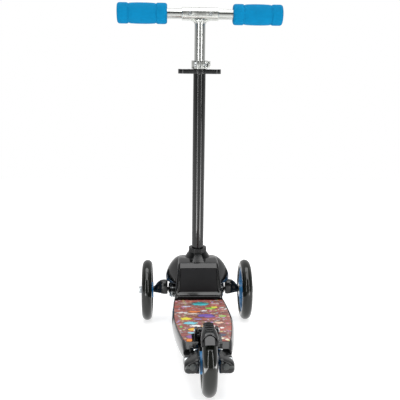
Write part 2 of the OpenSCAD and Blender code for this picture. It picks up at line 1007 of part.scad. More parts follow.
// screws that hold the housings to the deck's tail, driven from the rear
module housing_screws() {
    color("#b9bcbd")
        for (side = [-1, 1])
            translate([side * (slot_half + 4), deck_rear_y - 5, housing_high])
                cylinder(h = 2, r = 3.2);
}

// ---------- brake ----------
hinge_y = y_rear + 55.5;                    // the brake's hinge
hinge_z = deck_top + 7;
pin_r = 2.5;
lug_t = 4;            // thickness of the bracket's lugs
fender_in = rear_wheel_d / 2 + 3.5;         // inner radius of the fender
fender_t = 3;
fender_half = 12;     // half width of the fender
lip_angle = 138;      // rear lip, counted from straight ahead
root_angle = 30;      // front end of the arc

module brake_bracket() {
    color("#202223")
        difference() {
            union() {
                block([-slot_half - lug_t, slot_y, deck_top - 2],
                    [slot_half + lug_t, slot_y + 18, deck_top + 1]);
                for (side = [-1, 1])
                    translate([side > 0 ? slot_half : -slot_half - lug_t, 0, 0]) {
                        block([0, slot_y, deck_top], [lug_t, hinge_y + 6, hinge_z]);
                        translate([0, hinge_y, hinge_z])
                            bar_x(0, lug_t, 6);
                    }
            }
            translate([0, hinge_y, hinge_z])
                bar_x(-30, 30, pin_r);
        }
}

module brake_pin() {
    color("#c2c5c6")
        translate([0, hinge_y, hinge_z]) {
            bar_x(-slot_half - lug_t - 1, slot_half + lug_t + eps, pin_r);
            bar_x(slot_half + lug_t, slot_half + lug_t + 1.6, 4);
        }
}

// ring about the rear axle between two radii and two angles, wide along X
module arc(r0, r1, a0, a1, wide) {
    steps = 6;
    rotate([90, 0, 90])
        linear_extrude(wide, center = true)
            intersection() {
                difference() {
                    circle(r = r1, $fn = 96);
                    circle(r = r0, $fn = 96);
                }
                polygon(concat([[0, 0]], [for (i = [0:steps]) let (a = a0 + (a1 - a0) * i / steps)
                    [110 * cos(a), 110 * sin(a)]]));
            }
}

rail_t = 1.4;         // thickness of the fender's side flanges

// flanges that hang from the fender's edges, one on each side of the tyre
module fender_flanges() {
    color("#3a3c3c")
        translate([0, y_rear, z_rear])
            for (side = [-1, 1])
                translate([side * (fender_half - rail_t / 2 - 0.2), 0, 0])
                    arc(fender_in - 5, fender_in, root_angle + 8, lip_angle - 2, rail_t);
}

module brake_fender() {
    color("#3a3c3c")
        difference() {
            union() {
                translate([0, y_rear, z_rear])
                    arc(fender_in, fender_in + fender_t, root_angle, lip_angle, 2 * fender_half);
                for (side = [-1, 1])
                    translate([0, hinge_y, hinge_z])
                        bar_x(side * 5.5, side * (slot_half - gap), 5);
                translate([0, y_rear + (fender_in + 0.4) * cos(root_angle),
                    z_rear + (fender_in + 0.4) * sin(root_angle)])
                    rotate([14, 0, 0])
                        block([-fender_half + 0.1, -1.5, -0.8], [fender_half - 0.1, 9.6, 2.4]);
            }
            translate([0, hinge_y, hinge_z])
                bar_x(-30, 30, pin_r + run);
            // room for the spring between the two barrels
            translate([0, hinge_y, hinge_z])
                bar_x(-5.2, 5.2, 6.2);
        }
}

module brake_tread_pad() {
    color("#1f2021")
        translate([0, y_rear, z_rear])
            arc(fender_in + fender_t, fender_in + fender_t + 2, 64, 112, 2 * fender_half - 8);
}

// coils round the brake's pin with one leg on the bracket
module brake_spring() {
    color("#8d9091")
        translate([0, hinge_y, hinge_z]) {
            for (x = [-3.6, -1.2, 1.2, 3.6])
                translate([x, 0, 0])
                    rotate([0, 90, 0])
                        rotate_extrude()
                            translate([pin_r + 1.3, 0])
                                circle(r = 0.9);
            translate([0, pin_r + 1.3, 0])
                bar_x(-3.6, 3.6, 0.9);
            translate([3.6, pin_r + 1.3, -hinge_z + deck_top + 1])
                cylinder(h = hinge_z - deck_top - 1, r = 0.9);
        }
}

deck_shell();
deck_grip_sheet();
socket();
front_hood();
hood_panel();
hood_screws();
outer_tube();
grip_holder();
clamp_collar();
clamp_bolt();
cross_beam();
beam_bolts();
kingpin_bolts();
kingpin_washers();
kingpin_nuts();
centring_springs();
socket_screws();
axle_housings();
housing_screws();
rear_axle_bolt();
rear_axle_nut();
brake_bracket();
brake_pin();
brake_spring();
brake_fender();
fender_flanges();
brake_tread_pad();
inner_tube();
t_head();
grip_tubes();
end_plugs();
button_springs();
grip_left();
grip_right();
button_left();
button_right();
clamp_lever();
lever_pin();
knuckle_left();
knuckle_right();
kingpin_bush_left();
kingpin_bush_right();
axle_bolt_left();
axle_bolt_right();
tie_pin_left();
tie_pin_right();
tie_rod();
tyre_front_left();
tyre_front_right();
tyre_rear();
core_front_left();
core_front_right();
core_rear();
bearings_front_left();
bearings_front_right();
bearings_rear();
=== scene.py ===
"""Looks of a child's three-wheeled kick scooter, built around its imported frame."""

import json
import logging
import math
from dataclasses import dataclass, field
from enum import Enum

import bpy
from mathutils import Matrix, Vector

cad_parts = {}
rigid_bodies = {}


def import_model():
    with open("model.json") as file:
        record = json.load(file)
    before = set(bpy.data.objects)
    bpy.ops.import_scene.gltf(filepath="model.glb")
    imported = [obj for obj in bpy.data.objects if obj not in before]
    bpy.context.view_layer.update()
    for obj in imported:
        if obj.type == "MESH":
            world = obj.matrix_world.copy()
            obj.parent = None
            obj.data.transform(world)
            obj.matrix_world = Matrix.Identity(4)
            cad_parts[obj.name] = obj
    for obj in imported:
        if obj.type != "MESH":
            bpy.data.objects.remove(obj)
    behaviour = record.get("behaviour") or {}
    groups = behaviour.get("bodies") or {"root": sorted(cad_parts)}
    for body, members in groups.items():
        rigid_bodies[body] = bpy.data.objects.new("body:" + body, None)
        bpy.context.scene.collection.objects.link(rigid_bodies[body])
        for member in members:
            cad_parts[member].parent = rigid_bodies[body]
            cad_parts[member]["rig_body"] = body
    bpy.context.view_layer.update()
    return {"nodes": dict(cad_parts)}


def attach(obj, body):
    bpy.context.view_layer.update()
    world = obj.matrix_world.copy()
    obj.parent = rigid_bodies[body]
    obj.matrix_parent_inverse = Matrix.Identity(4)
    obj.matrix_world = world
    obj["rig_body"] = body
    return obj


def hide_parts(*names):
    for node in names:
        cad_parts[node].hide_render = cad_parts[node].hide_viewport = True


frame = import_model()

LOG = logging.getLogger("kick_scooter")
MM = 0.001
Point = tuple[float, float, float]
Flat = tuple[float, float]

# the frame's own places, in millimetres
Y_FRONT = 196.5
Y_REAR = -211.5
Z_FRONT = 60.0
Z_REAR = 45.0
HALF_TRACK = 98.0
MOUTH = (0.0, 144.0, 153.6)
RAKE = math.radians(10.4)
BAR_REACH = 428.6
KINGPIN = (47.0, Y_FRONT, 63.5)
KINGPIN_LEAN = math.radians(25)
SMOOTH_ANGLE = math.radians(38)


class Facing(Enum):
    """The axis that a turned piece is round."""

    X = 0
    Y = 1
    Z = 2


# ---------------------------------------------------------------- finishes


def linear(hexcode: str) -> tuple[float, float, float, float]:
    """Turns an sRGB hex colour into linear red, green, blue and alpha.

    Args:
        hexcode: six hex digits.

    Returns:
        The linear colour.
    """
    values = [int(hexcode[i : i + 2], 16) / 255 for i in (0, 2, 4)]
    r, g, b = (v / 12.92 if v <= 0.04045 else ((v + 0.055) / 1.055) ** 2.4 for v in values)
    return r, g, b, 1.0


def add(tree: bpy.types.NodeTree, kind: str, settings: dict | None = None,
        links: dict | None = None) -> bpy.types.Node:
    """Adds one node with its settings and its links.

    Args:
        tree: the tree that it goes into.
        kind: the node's type.
        settings: values by socket name or number, or by attribute where the name is lower case.
        links: sockets of other nodes that feed this one, by socket name or number.

    Returns:
        The node.
    """
    node = tree.nodes.new(kind)
    late = []
    for key, value in (settings or {}).items():
        if isinstance(key, str) and key[0].islower():
            setattr(node, key, value)
        else:
            late.append((key, value))
    for key, value in late:
        node.inputs[key].default_value = value
    for key, source in (links or {}).items():
        tree.links.new(source, node.inputs[key])
    return node


@dataclass(frozen=True)
class Surface:
    """What all the plain finishes share: a colour with a slow drift, a grain and a few scuffs.

    The grain's and the drift's sizes are in millimetres.
    """

    name: str
    colour: str
    worn: str
    roughness: float
    rough_spread: float = 0.08
    metallic: float = 0.0
    grain: float = 0.6
    grain_depth: float = 0.04
    drift: float = 30.0
    drift_share: float = 0.35
    stretch: Point = (1.0, 1.0, 1.0)
    coat: float = 0.0
    sheen: float = 0.0
    specular: float = 0.5

    def build(self) -> bpy.types.Material:
        """Builds the material.

        Returns:
            The material, ready to assign.
        """
        material = bpy.data.materials.new(self.name)
        material.use_nodes = True
        tree = material.node_tree
        tree.nodes.clear()
        shader = add(tree, "ShaderNodeBsdfPrincipled", {
            "Metallic": self.metallic, "Coat Weight": self.coat, "Coat Roughness": 0.08,
            "Sheen Weight": self.sheen, "Sheen Roughness": 0.5, "Specular IOR Level": self.specular})
        add(tree, "ShaderNodeOutputMaterial", links={"Surface": shader.outputs[0]})
        where = add(tree, "ShaderNodeTexCoord")
        place = add(tree, "ShaderNodeMapping", {"Scale": self.stretch}, {"Vector": where.outputs["Object"]})
        slow = add(tree, "ShaderNodeTexNoise", {"Scale": 1 / (self.drift * MM), "Detail": 3.0},
                   {"Vector": place.outputs[0]})
        fine = add(tree, "ShaderNodeTexNoise", {"Scale": 1 / (self.grain * MM), "Detail": 2.0},
                   {"Vector": place.outputs[0]})
        share = add(tree, "ShaderNodeMath", {"operation": "MULTIPLY", 1: self.drift_share},
                    {0: slow.outputs[0]})
        mix = add(tree, "ShaderNodeMix", {"data_type": "RGBA", 6: linear(self.colour), 7: linear(self.worn)},
                  {0: share.outputs[0]})
        tree.links.new(mix.outputs[2], shader.inputs["Base Color"])
        rough = add(tree, "ShaderNodeMapRange", {"To Min": max(0.02, self.roughness - self.rough_spread),
                    "To Max": self.roughness + self.rough_spread, "From Min": 0.3, "From Max": 0.7},
                    {"Value": slow.outputs[0]})
        tree.links.new(rough.outputs[0], shader.inputs["Roughness"])
        bump = add(tree, "ShaderNodeBump", {"Strength": 0.6, "Distance": self.grain_depth * MM},
                   {"Height": fine.outputs[0]})
        tree.links.new(bump.outputs[0], shader.inputs["Normal"])
        return material


# satin black ABS from a spark-eroded mould: a fine even grain, soft grey glints
MOULDED_BLACK = Surface("moulded_abs_black", "0C0D0E", "141616", 0.24, grain=0.9, grain_depth=0.05)
# hood plastic from a polished mould: deep black with clear reflections
POLISHED_BLACK = Surface("polished_abs_black", "08090A", "0F1011", 0.11, 0.04, grain=1.6, grain_depth=0.02)
# bosses that stand proud of the axle housings: black plastic painted grey as a painted highlight for the
# glints that they catch
BOSS_HIGHLIGHT_GREY = Surface("abs_grey_painted_highlight", "3C3F3E", "505352", 0.34, grain=1.2, grain_depth=0.04)
# the panel between the hood's rails is moulded with a dull grain
DULL_BLACK = Surface("grained_abs_black", "0E0F11", "141518", 0.6, grain=0.7, grain_depth=0.08, specular=0.25)
# gloss powder coat on the steel tube: slight orange peel
POWDER_COAT = Surface("gloss_powder_coat_black", "060707", "0A0B0B", 0.09, 0.04, grain=3.0, grain_depth=0.02,
                      specular=0.5)
# bright zinc-nickel plate on the drawn tubes: lines along the draw
BRIGHT_PLATE = Surface("bright_plated_steel", "C9CBC8", "B4B6B2", 0.2, 0.05, 1.0, grain=3.0,
                       grain_depth=0.002,
                       stretch=(1.0, 1.0, 0.04))
BRIGHT_PLATE_CROSS = Surface("bright_plated_steel_cross", "C4C6C3", "ABADA9", 0.2, 0.05, 1.0, grain=3.0,
                             grain_depth=0.002, stretch=(0.04, 1.0, 1.0))
# cast aluminium, tumbled and then polished: soft bright glints
POLISHED_ALLOY = Surface("polished_aluminium", "CBCDC9", "BABCB8", 0.27, 0.05, 1.0, grain=6.0,
                         grain_depth=0.003)
# clear passivated zinc on the fasteners: cool grey with a faint mottle
ZINC = Surface("zinc_plated_steel", "B7BBBD", "9A9C98", 0.3, 0.08, 1.0, grain=0.8, grain_depth=0.02,
               drift=6.0)
# oiled spring wire: dark, slightly blue
SPRING_STEEL = Surface("oiled_spring_steel", "5C6064", "43464A", 0.34, 0.08, 1.0, grain=0.4, grain_depth=0.01)
# cast polyurethane tyre: smooth, a little cloudy, polished where it was cast
CAST_TYRE = Surface("cast_polyurethane_black", "131512", "1D1F1C", 0.12, 0.05, grain=2.2, grain_depth=0.03)
# blue nylon wheel core: moulded, satin
BLUE_CORE = Surface("moulded_nylon_blue", "1272A8", "0F659A", 0.34, grain=1.0, grain_depth=0.03)
NYLON = Surface("natural_nylon", "D8D0BE", "C9C0AC", 0.42, grain=0.8, grain_depth=0.03)
# black paint on the steering parts under the hood
CHASSIS_PAINT = Surface("baked_enamel_black", "141617", "1E2021", 0.3, grain=1.4, grain_depth=0.03)


@dataclass(frozen=True)
class FoamFinish:
    """Blue closed-cell foam: fine open pores where the skin was ground, no gloss."""

    name: str = "closed_cell_foam_blue"
    colour: str = "0078A8"
    # painted shade: a darker blue laid into the bottom of each pore
    pit_shade_colour: str = "006A96"
    pore: float = 1.1

    def build(self) -> bpy.types.Material:
        """Builds the material.

        Returns:
            The material, ready to assign.
        """
        material = bpy.data.materials.new(self.name)
        material.use_nodes = True
        tree = material.node_tree
        tree.nodes.clear()
        shader = add(tree, "ShaderNodeBsdfPrincipled", {"Roughness": 0.9,
                     "Specular IOR Level": 0.12})
        add(tree, "ShaderNodeOutputMaterial", links={"Surface": shader.outputs[0]})
        where = add(tree, "ShaderNodeTexCoord")
        cells = add(tree, "ShaderNodeTexVoronoi", {"Scale": 1 / (self.pore * MM)},
                    {"Vector": where.outputs["Object"]})
        cloud = add(tree, "ShaderNodeTexNoise", {"Scale": 1 / (14 * MM), "Detail": 3.0},
                    {"Vector": where.outputs["Object"]})
        depth = add(tree, "ShaderNodeMapRange", {"From Max": 0.5}, {"Value": cells.outputs["Distance"]})
        tone = add(tree, "ShaderNodeMath", {"operation": "MULTIPLY"},
                   {0: depth.outputs[0], 1: cloud.outputs[0]})
        # the darker blue in the pits is painted shade, and the slow cloud varies it at random in patches
        mix = add(tree, "ShaderNodeMix", {"data_type": "RGBA", 6: linear(self.pit_shade_colour),
                                          7: linear(self.colour)},
                  {0: tone.outputs[0]})
        tree.links.new(mix.outputs[2], shader.inputs["Base Color"])
        bump = add(tree, "ShaderNodeBump", {"Strength": 0.5, "Distance": 0.12 * MM},
                   {"Height": depth.outputs[0]})
        tree.links.new(bump.outputs[0], shader.inputs["Normal"])
        return material


@dataclass(frozen=True)
class Splash:
    """One patch of colour on the printed sheet: its middle, its half sizes and how ragged its edge is."""

    colour: str
    x: float
    y: float
    half_x: float
    half_y: float
    ragged: float = 0.5


SPLASHES = (
    Splash("4FC2C8", 1, 45, 14, 12, 0.9), Splash("2A8E96", 1, 52, 9, 6, 0.3),
    Splash("F0D6CC", -25, 53, 8, 2.5, 1.0),
    Splash("C9CBE0", -25, 27, 8, 5, 0.8), Splash("E9DAD4", 27, 46, 8, 2.5, 1.0),
    Splash("8FCB52", 17, 13, 9, 6, 0.6),
    Splash("E8E052", 24, 20, 7, 5, 0.8), Splash("C9C8BE", 38, 17, 4, 5, 0.9),
    Splash("E6E4E4", 5, -5, 5, 5, 1.0),
    Splash("E4E2DA", -32, -17, 9, 4, 1.0), Splash("E8884C", -12, -11, 10, 6, 0.6),
    Splash("E9D9CC", -16, -25, 13, 3, 1.0),
    Splash("6E5AB0", 6, -38, 13, 9, 0.5), Splash("8C62B4", 11, -45, 9, 6, 0.8),
    Splash("A6C76A", 33, -41, 6, 6, 0.6),
    Splash("E9DC3E", -26, -57, 8, 8, 0.9), Splash("9C7FC0", -8, -60, 6, 4, 0.9),
    Splash("7FD0DE", -20, -84, 10, 8, 0.6),
    Splash("F3F0EE", -14, -100, 9, 5, 1.0), Splash("F3F0EE", 9, -101, 9, 5, 1.0),
    Splash("F1C7AC", 23, -82, 7, 6, 1.0),
    Splash("7CB860", -35, -106, 2, 6, 0.9), Splash("F0B93C", -18, -120, 8, 7, 0.7),
    Splash("F3EFEA", 26, -112, 4, 4, 0.8),
    Splash("93CBDB", -21, -138, 5, 5, 0.5), Splash("54596E", 22, -150, 7, 6, 0.6),
    Splash("9061A6", -22, -158, 7, 8, 0.8),
    Splash("EE8C36", -24, -175, 5, 7, 0.9), Splash("F0EAD0", 23, -167, 3, 4, 0.8),
    Splash("F0EAD0", 28, -173, 3, 4, 0.8))


@dataclass(frozen=True)
class PrintedSheet:
    """Anti-slip film printed with a red brick wall and plain splashes of paint."""

    name: str = "printed_anti_slip_film"
    brick: Flat = (23.0, 9.0)
    mortar: float = 1.0

    def build(self) -> bpy.types.Material:
        """Builds the material.

        Returns:
            The material, ready to assign.
        """
        material = bpy.data.materials.new(self.name)
        material.use_nodes = True
        tree = material.node_tree
        tree.nodes.clear()
        shader = add(tree, "ShaderNodeBsdfPrincipled", {"Roughness": 0.42, "Specular IOR Level": 0.45})
        add(tree, "ShaderNodeOutputMaterial", links={"Surface": shader.outputs[0]})
        where = add(tree, "ShaderNodeTexCoord")
        smear = add(tree, "ShaderNodeTexNoise", {"Scale": 1 / (5.5 * MM), "Detail": 3.0},
                    {"Vector": where.outputs["Object"]})
        wander = add(tree, "ShaderNodeVectorMath", {"operation": "MULTIPLY_ADD", 1: (0.004, 0.004, 0.0)},
                     {0: smear.outputs[1], 2: where.outputs["Object"]})
        bricks = add(tree, "ShaderNodeTexBrick", {
            "Scale": 1.0, "Brick Width": self.brick[0] * MM, "Row Height": self.brick[1] * MM,
            "Mortar Size": self.mortar * MM, "Mortar Smooth": 0.3, "Color1": linear("B4524A"),
            "Color2": linear("6A3434"), "Mortar": linear("9A8478")}, {"Vector": wander.outputs[0]})
        blotch = add(tree, "ShaderNodeTexNoise", {"Scale": 1 / (26 * MM), "Detail": 5.0, "Roughness": 0.7},
                     {"Vector": where.outputs["Object"]})
        faded = add(tree, "ShaderNodeMapRange", {"From Min": 0.48, "From Max": 0.72, "To Max": 0.7},
                    {"Value": blotch.outputs[0]})
        last = add(tree, "ShaderNodeMix", {"data_type": "RGBA", 7: linear("8C7468")},
                   {0: faded.outputs[0], 6: bricks.outputs["Color"]})
        cells = add(tree, "ShaderNodeTexVoronoi", {"Scale": 1 / (6.5 * MM), "Randomness": 1.0},
                    {"Vector": wander.outputs[0]})
        inner = add(tree, "ShaderNodeMapRange", {"From Min": 0.3, "From Max": 0.36, "To Min": 1.0,
                                                 "To Max": 0.0},
                    {"Value": cells.outputs["Distance"]})
        where_specks = add(tree, "ShaderNodeMapRange", {"From Min": 0.45, "From Max": 0.5, "To Max": 0.85},
                           {"Value": blotch.outputs[0]})
        speck = add(tree, "ShaderNodeMath", {"operation": "MULTIPLY"},
                    {0: inner.outputs[0], 1: where_specks.outputs[0]})
        hues = add(tree, "ShaderNodeMix", {"data_type": "RGBA", 0: 0.35, 7: linear("D8D0C4")},
                   {6: cells.outputs["Color"]})
        last = add(tree, "ShaderNodeMix", {"data_type": "RGBA"},
                   {0: speck.outputs[0], 6: last.outputs[2], 7: hues.outputs[2]})
        for splash in SPLASHES:
            centred = add(tree, "ShaderNodeVectorMath", {
                "operation": "SUBTRACT", 1: (splash.x * MM, splash.y * MM, 65 * MM)},
                {0: where.outputs["Object"]})
            sized = add(tree, "ShaderNodeVectorMath", {
                "operation": "DIVIDE", 1: (splash.half_x * MM, splash.half_y * MM, 1.0)},
                {0: centred.outputs[0]})
            radius = add(tree, "ShaderNodeVectorMath", {"operation": "LENGTH"}, {0: sized.outputs[0]})
            edge = add(tree, "ShaderNodeMath", {"operation": "MULTIPLY_ADD", 1: 2.2 * splash.ragged},
                       {0: smear.outputs[0], 2: radius.outputs["Value"]})
            inside = add(tree, "ShaderNodeMapRange", {
                "From Min": 0.92 + 1.1 * splash.ragged, "From Max": 1.05 + 1.1 * splash.ragged,
                "To Min": 0.92, "To Max": 0.0}, {"Value": edge.outputs[0]})
            outline = add(tree, "ShaderNodeMapRange", {
                "From Min": 1.05 + 1.1 * splash.ragged, "From Max": 1.3 + 1.1 * splash.ragged,
                "To Min": 0.75, "To Max": 0.0}, {"Value": edge.outputs[0]})
            last = add(tree, "ShaderNodeMix", {"data_type": "RGBA", 7: linear("2A2226")},
                       {0: outline.outputs[0], 6: last.outputs[2]})
            last = add(tree, "ShaderNodeMix", {"data_type": "RGBA", 7: linear(splash.colour)},
                       {0: inside.outputs[0], 6: last.outputs[2]})
        tree.links.new(last.outputs[2], shader.inputs["Base Color"])
        grit = add(tree, "ShaderNodeTexVoronoi", {"Scale": 1 / (1.4 * MM)},
                   {"Vector": where.outputs["Object"]})
        bump = add(tree, "ShaderNodeBump", {"Strength": 0.35, "Distance": 0.15 * MM},
                   {"Height": grit.outputs[0]})
        tree.links.new(bump.outputs[0], shader.inputs["Normal"])
        return material


FINISHES: dict[str, bpy.types.Material] = {}


def finish_of(maker: Surface | FoamFinish | PrintedSheet) -> bpy.types.Material:
    """Gives a finish's material, built once.

    Args:
        maker: the finish.

    Returns:
        Its material.
    """
    if maker.name not in FINISHES:
        FINISHES[maker.name] = maker.build()
    return FINISHES[maker.name]


# ---------------------------------------------------------------- bench


def take(*objects: bpy.types.Object) -> None:
    """Selects only these objects and makes the first one active."""
    if bpy.context.object and bpy.context.object.mode != "OBJECT":
        bpy.ops.object.mode_set(mode="OBJECT")
    bpy.ops.object.select_all(action="DESELECT")
    for one in objects:
        one.select_set(True)
    if objects:
        bpy.context.view_layer.objects.active = objects[0]


def named(name: str) -> bpy.types.Object:
    """Names the newest primitive and fixes its place into its mesh.

    Args:
        name: the object's name.

    Returns:
        The object, at the origin.
    """
    made = bpy.context.object
    made.name = made.data.name = name
    bpy.ops.object.transform_apply(location=True, rotation=True, scale=True)
    return made


def modify(piece: bpy.types.Object, kind: str, **settings: object) -> None:
    """Adds one modifier and applies it.

    Args:
        piece: the object.
        kind: the modifier's type.
        settings: its values.
    """
    take(piece)
    modifier = piece.modifiers.new(kind.lower(), kind)
    for key, value in settings.items():
        setattr(modifier, key, value)
    bpy.ops.object.modifier_apply(modifier=modifier.name)


def smooth(piece: bpy.types.Object, angle: float = SMOOTH_ANGLE) -> bpy.types.Object:
    """Shades a piece smooth except over sharp edges.

    Args:
        piece: the object.
        angle: the sharp edges' angle.

    Returns:
        The same object.
    """
    take(piece)
    bpy.ops.object.shade_smooth_by_angle(angle=angle)
    return piece


def soften(piece: bpy.types.Object, width: float, segments: int = 2, angle: float = 35) -> bpy.types.Object:
    """Rounds a piece's edges.

    Args:
        piece: the object.
        width: the rounding's width in millimetres.
        segments: its steps.
        angle: edges sharper than this many degrees are rounded.

    Returns:
        The same object.
    """
    modify(piece, "BEVEL", width=width * MM, segments=segments, limit_method="ANGLE",
           angle_limit=math.radians(angle), use_clamp_overlap=True)
    return smooth(piece)


def outward() -> None:
    """Closes doubles in the mesh being edited and turns its faces outwards."""
    bpy.ops.mesh.select_mode(type="VERT")
    bpy.ops.mesh.select_all(action="SELECT")
    bpy.ops.mesh.remove_doubles(threshold=1e-6)
    bpy.ops.mesh.normals_make_consistent(inside=False)


def skinned(name: str, rings: list[list[Point]], joined: bool = False) -> bpy.types.Object:
    """Extrudes one ring into a row of rings and sets each point at its place on the outline.

    Where the number of points leaves 2 over when divided by 4, the rounding below falls on halves, so
    some neighbouring points land in one place and those outlines come out blunter than they are given.

    Args:
        name: the object's name.
        rings: outlines with the same number of points, in millimetres.
        joined: closes the last ring onto the first in place of two end faces.

    Returns:
        The object.
    """
    count = len(rings[0])
    take()
    bpy.ops.mesh.primitive_circle_add(vertices=count, radius=1.0)
    made = named(name)
    bpy.ops.object.mode_set(mode="EDIT")
    for _ in rings[1:]:
        bpy.ops.mesh.extrude_region_move(TRANSFORM_OT_translate={"value": (0, 0, 1)})
    bpy.ops.mesh.select_mode(type="EDGE")
    bpy.ops.mesh.select_all(action="DESELECT")
    bpy.ops.mesh.select_non_manifold()
    if joined:
        bpy.ops.mesh.bridge_edge_loops()
    else:
        bpy.ops.mesh.fill_holes(sides=0)
    bpy.ops.object.mode_set(mode="OBJECT")
    for vertex in made.data.vertices:
        turn = math.atan2(vertex.co.y, vertex.co.x) / (2 * math.pi) * count
        point = rings[round(vertex.co.z)][round(turn) % count]
        vertex.co = Vector(point) * MM
    bpy.ops.object.mode_set(mode="EDIT")
    outward()
    bpy.ops.object.mode_set(mode="OBJECT")
    return made


def turned(name: str, facing: Facing, centre: Point, stations: list[Point], sides: int = 64,
           joined: bool = False) -> bpy.types.Object:
    """Turns a piece like a lathe, station by station.

    Args:
        name: the object's name.
        facing: the axis that it is round.
        centre: a point on that axis, in millimetres.
        stations: place along the axis from the centre, and the radii over the other two axes.
        sides: the number of sides.
        joined: closes the last station onto the first, for a piece with a bore.

    Returns:
        The object.
    """
    rings = []
    for along, first, second in stations:
        ring = []
        for i in range(sides):
            a = 2 * math.pi * i / sides
            offset = [first * math.cos(a), second * math.sin(a)]
            offset.insert(facing.value, along)
            ring.append(tuple(c + o for c, o in zip(centre, offset)))
        rings.append(ring)
    return skinned(name, rings, joined)


def pipe(stations: list[Flat]) -> list[Point]:
    """Gives round stations, with both radii the same."""
    return [(along, radius, radius) for along, radius in stations]


def rounded(corners: list[Point], steps: int = 4) -> list[Flat]:
    """Rounds the corners of an outline.

    Args:
        corners: each corner's two coordinates and the rounding's size.
        steps: the number of steps in each rounding.

    Returns:
        The outline's points, always as many for as many corners.
    """
    out: list[Flat] = []
    for i, (px, pz, size) in enumerate(corners):
        ends = []
        for other in (corners[i - 1], corners[(i + 1) % len(corners)]):
            dx, dz = other[0] - px, other[1] - pz
            length = math.hypot(dx, dz) or 1.0
            reach = min(size, 0.49 * length)
            ends.append((px + dx / length * reach, pz + dz / length * reach))
        for j in range(steps + 1):
            s = j / steps
            weights = ((1 - s) ** 2, 2 * s * (1 - s), s * s)
            out.append(tuple(weights[0] * ends[0][k] + weights[1] * (px, pz)[k] + weights[2] * ends[1][k]
                             for k in (0, 1)))
    return out


def block(name: str, low: Point, high: Point, edge: float = 0.8) -> bpy.types.Object:
    """Makes a block with rounded edges.

    Args:
        name: the object's name.
        low: its lowest corner in millimetres.
        high: its highest corner.
        edge: the rounding of its edges.

    Returns:
        The object.
    """
    take()
    middle = [(a + b) / 2 * MM for a, b in zip(low, high)]
    bpy.ops.mesh.primitive_cube_add(size=1, location=middle)
    bpy.context.object.scale = [abs(b - a) * MM for a, b in zip(low, high)]
    made = named(name)
    return soften(made, edge, 3)


def cut(piece: bpy.types.Object, tool: bpy.types.Object) -> bpy.types.Object:
    """Cuts one object out of another and removes the tool.

    Args:
        piece: the object that is cut.
        tool: the cutting shape.

    Returns:
        The cut object.
    """
    modify(piece, "BOOLEAN", object=tool, operation="DIFFERENCE", solver="EXACT")
    bpy.data.objects.remove(tool)
    return piece


def merged(name: str, *pieces: bpy.types.Object) -> bpy.types.Object:
    """Joins objects into one.

    Args:
        name: the name of the whole.
        pieces: the objects.

    Returns:
        The joined object.
    """
    take(*pieces)
    bpy.ops.object.join()
    whole = bpy.context.object
    whole.name = whole.data.name = name
    return whole


def laid(piece: bpy.types.Object, place: Matrix) -> bpy.types.Object:
    """Moves a piece made at the origin to its place and fixes that into its mesh."""
    take(piece)
    piece.matrix_world = place
    bpy.ops.object.transform_apply(location=True, rotation=True, scale=True)
    return piece


def on_column(along: float) -> Matrix:
    """Gives the place on the column's axis at a distance from the socket's mouth, in millimetres."""
    return (Matrix.Translation(Vector(MOUTH) * MM) @ Matrix.Rotation(RAKE, 4, "X")
            @ Matrix.Translation((0, 0, along * MM)))


def on_kingpin(side: int) -> Matrix:
    """Gives the place of a kingpin, side is 1 for the right and -1 for the left."""
    where = Vector((side * KINGPIN[0], KINGPIN[1], KINGPIN[2])) * MM
    return Matrix.Translation(where) @ Matrix.Rotation(-KINGPIN_LEAN, 4, "X")


def seat(piece: bpy.types.Object, body: str, slot: str, maker: Surface | FoamFinish | PrintedSheet,
         *nodes: str) -> bpy.types.Object:
    """Dresses a finished piece and seats it on its body.

    Args:
        piece: the object.
        body: the body that it moves with.
        slot: the record's material slot; not used.
        maker: its finish.
        nodes: the frame's nodes that it stands for.

    Returns:
        The same object.
    """
    piece.data.materials.clear()
    piece.data.materials.append(finish_of(maker))
    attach(piece, body)
    if nodes:
        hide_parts(*nodes)
    LOG.info("%s rides on %s, %d faces", piece.name, body, len(piece.data.polygons))
    return piece


def dress_node(node: str, maker: Surface | FoamFinish | PrintedSheet) -> None:
    """Gives one of the frame's own nodes its finish."""
    shown = frame["nodes"][node]
    for slot in shown.material_slots:
        slot.material = finish_of(maker)
    if not shown.material_slots:
        shown.data.materials.append(finish_of(maker))
    LOG.info("%s keeps its own mesh", node)


def eased(node: str, slot: str, maker: Surface, width: float = 0.4, angle: float = 35) -> bpy.types.Object:
    """Copies a node, closes its loose triangles and breaks its sharp edges as a maker would.

    Args:
        node: the frame's node.
        slot: the record's material slot.
        maker: its finish.
        width: the edges' rounding in millimetres.
        angle: edges sharper than this many degrees are rounded.

    Returns:
        The piece that stands for the node.
    """
    source = frame["nodes"][node]
    piece = bpy.data.objects.new(node + "_finished", source.data.copy())
    bpy.context.scene.collection.objects.link(piece)
    take(piece)
    bpy.ops.object.mode_set(mode="EDIT")
    bpy.ops.mesh.select_mode(type="VERT")
    bpy.ops.mesh.select_all(action="SELECT")
    bpy.ops.mesh.remove_doubles(threshold=2e-6)
    bpy.ops.mesh.dissolve_limited(angle_limit=math.radians(0.5))
    bpy.ops.object.mode_set(mode="OBJECT")
    soften(piece, width, 2, angle)
    return seat(piece, source["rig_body"], slot, maker, node)


# ---------------------------------------------------------------- handlebar


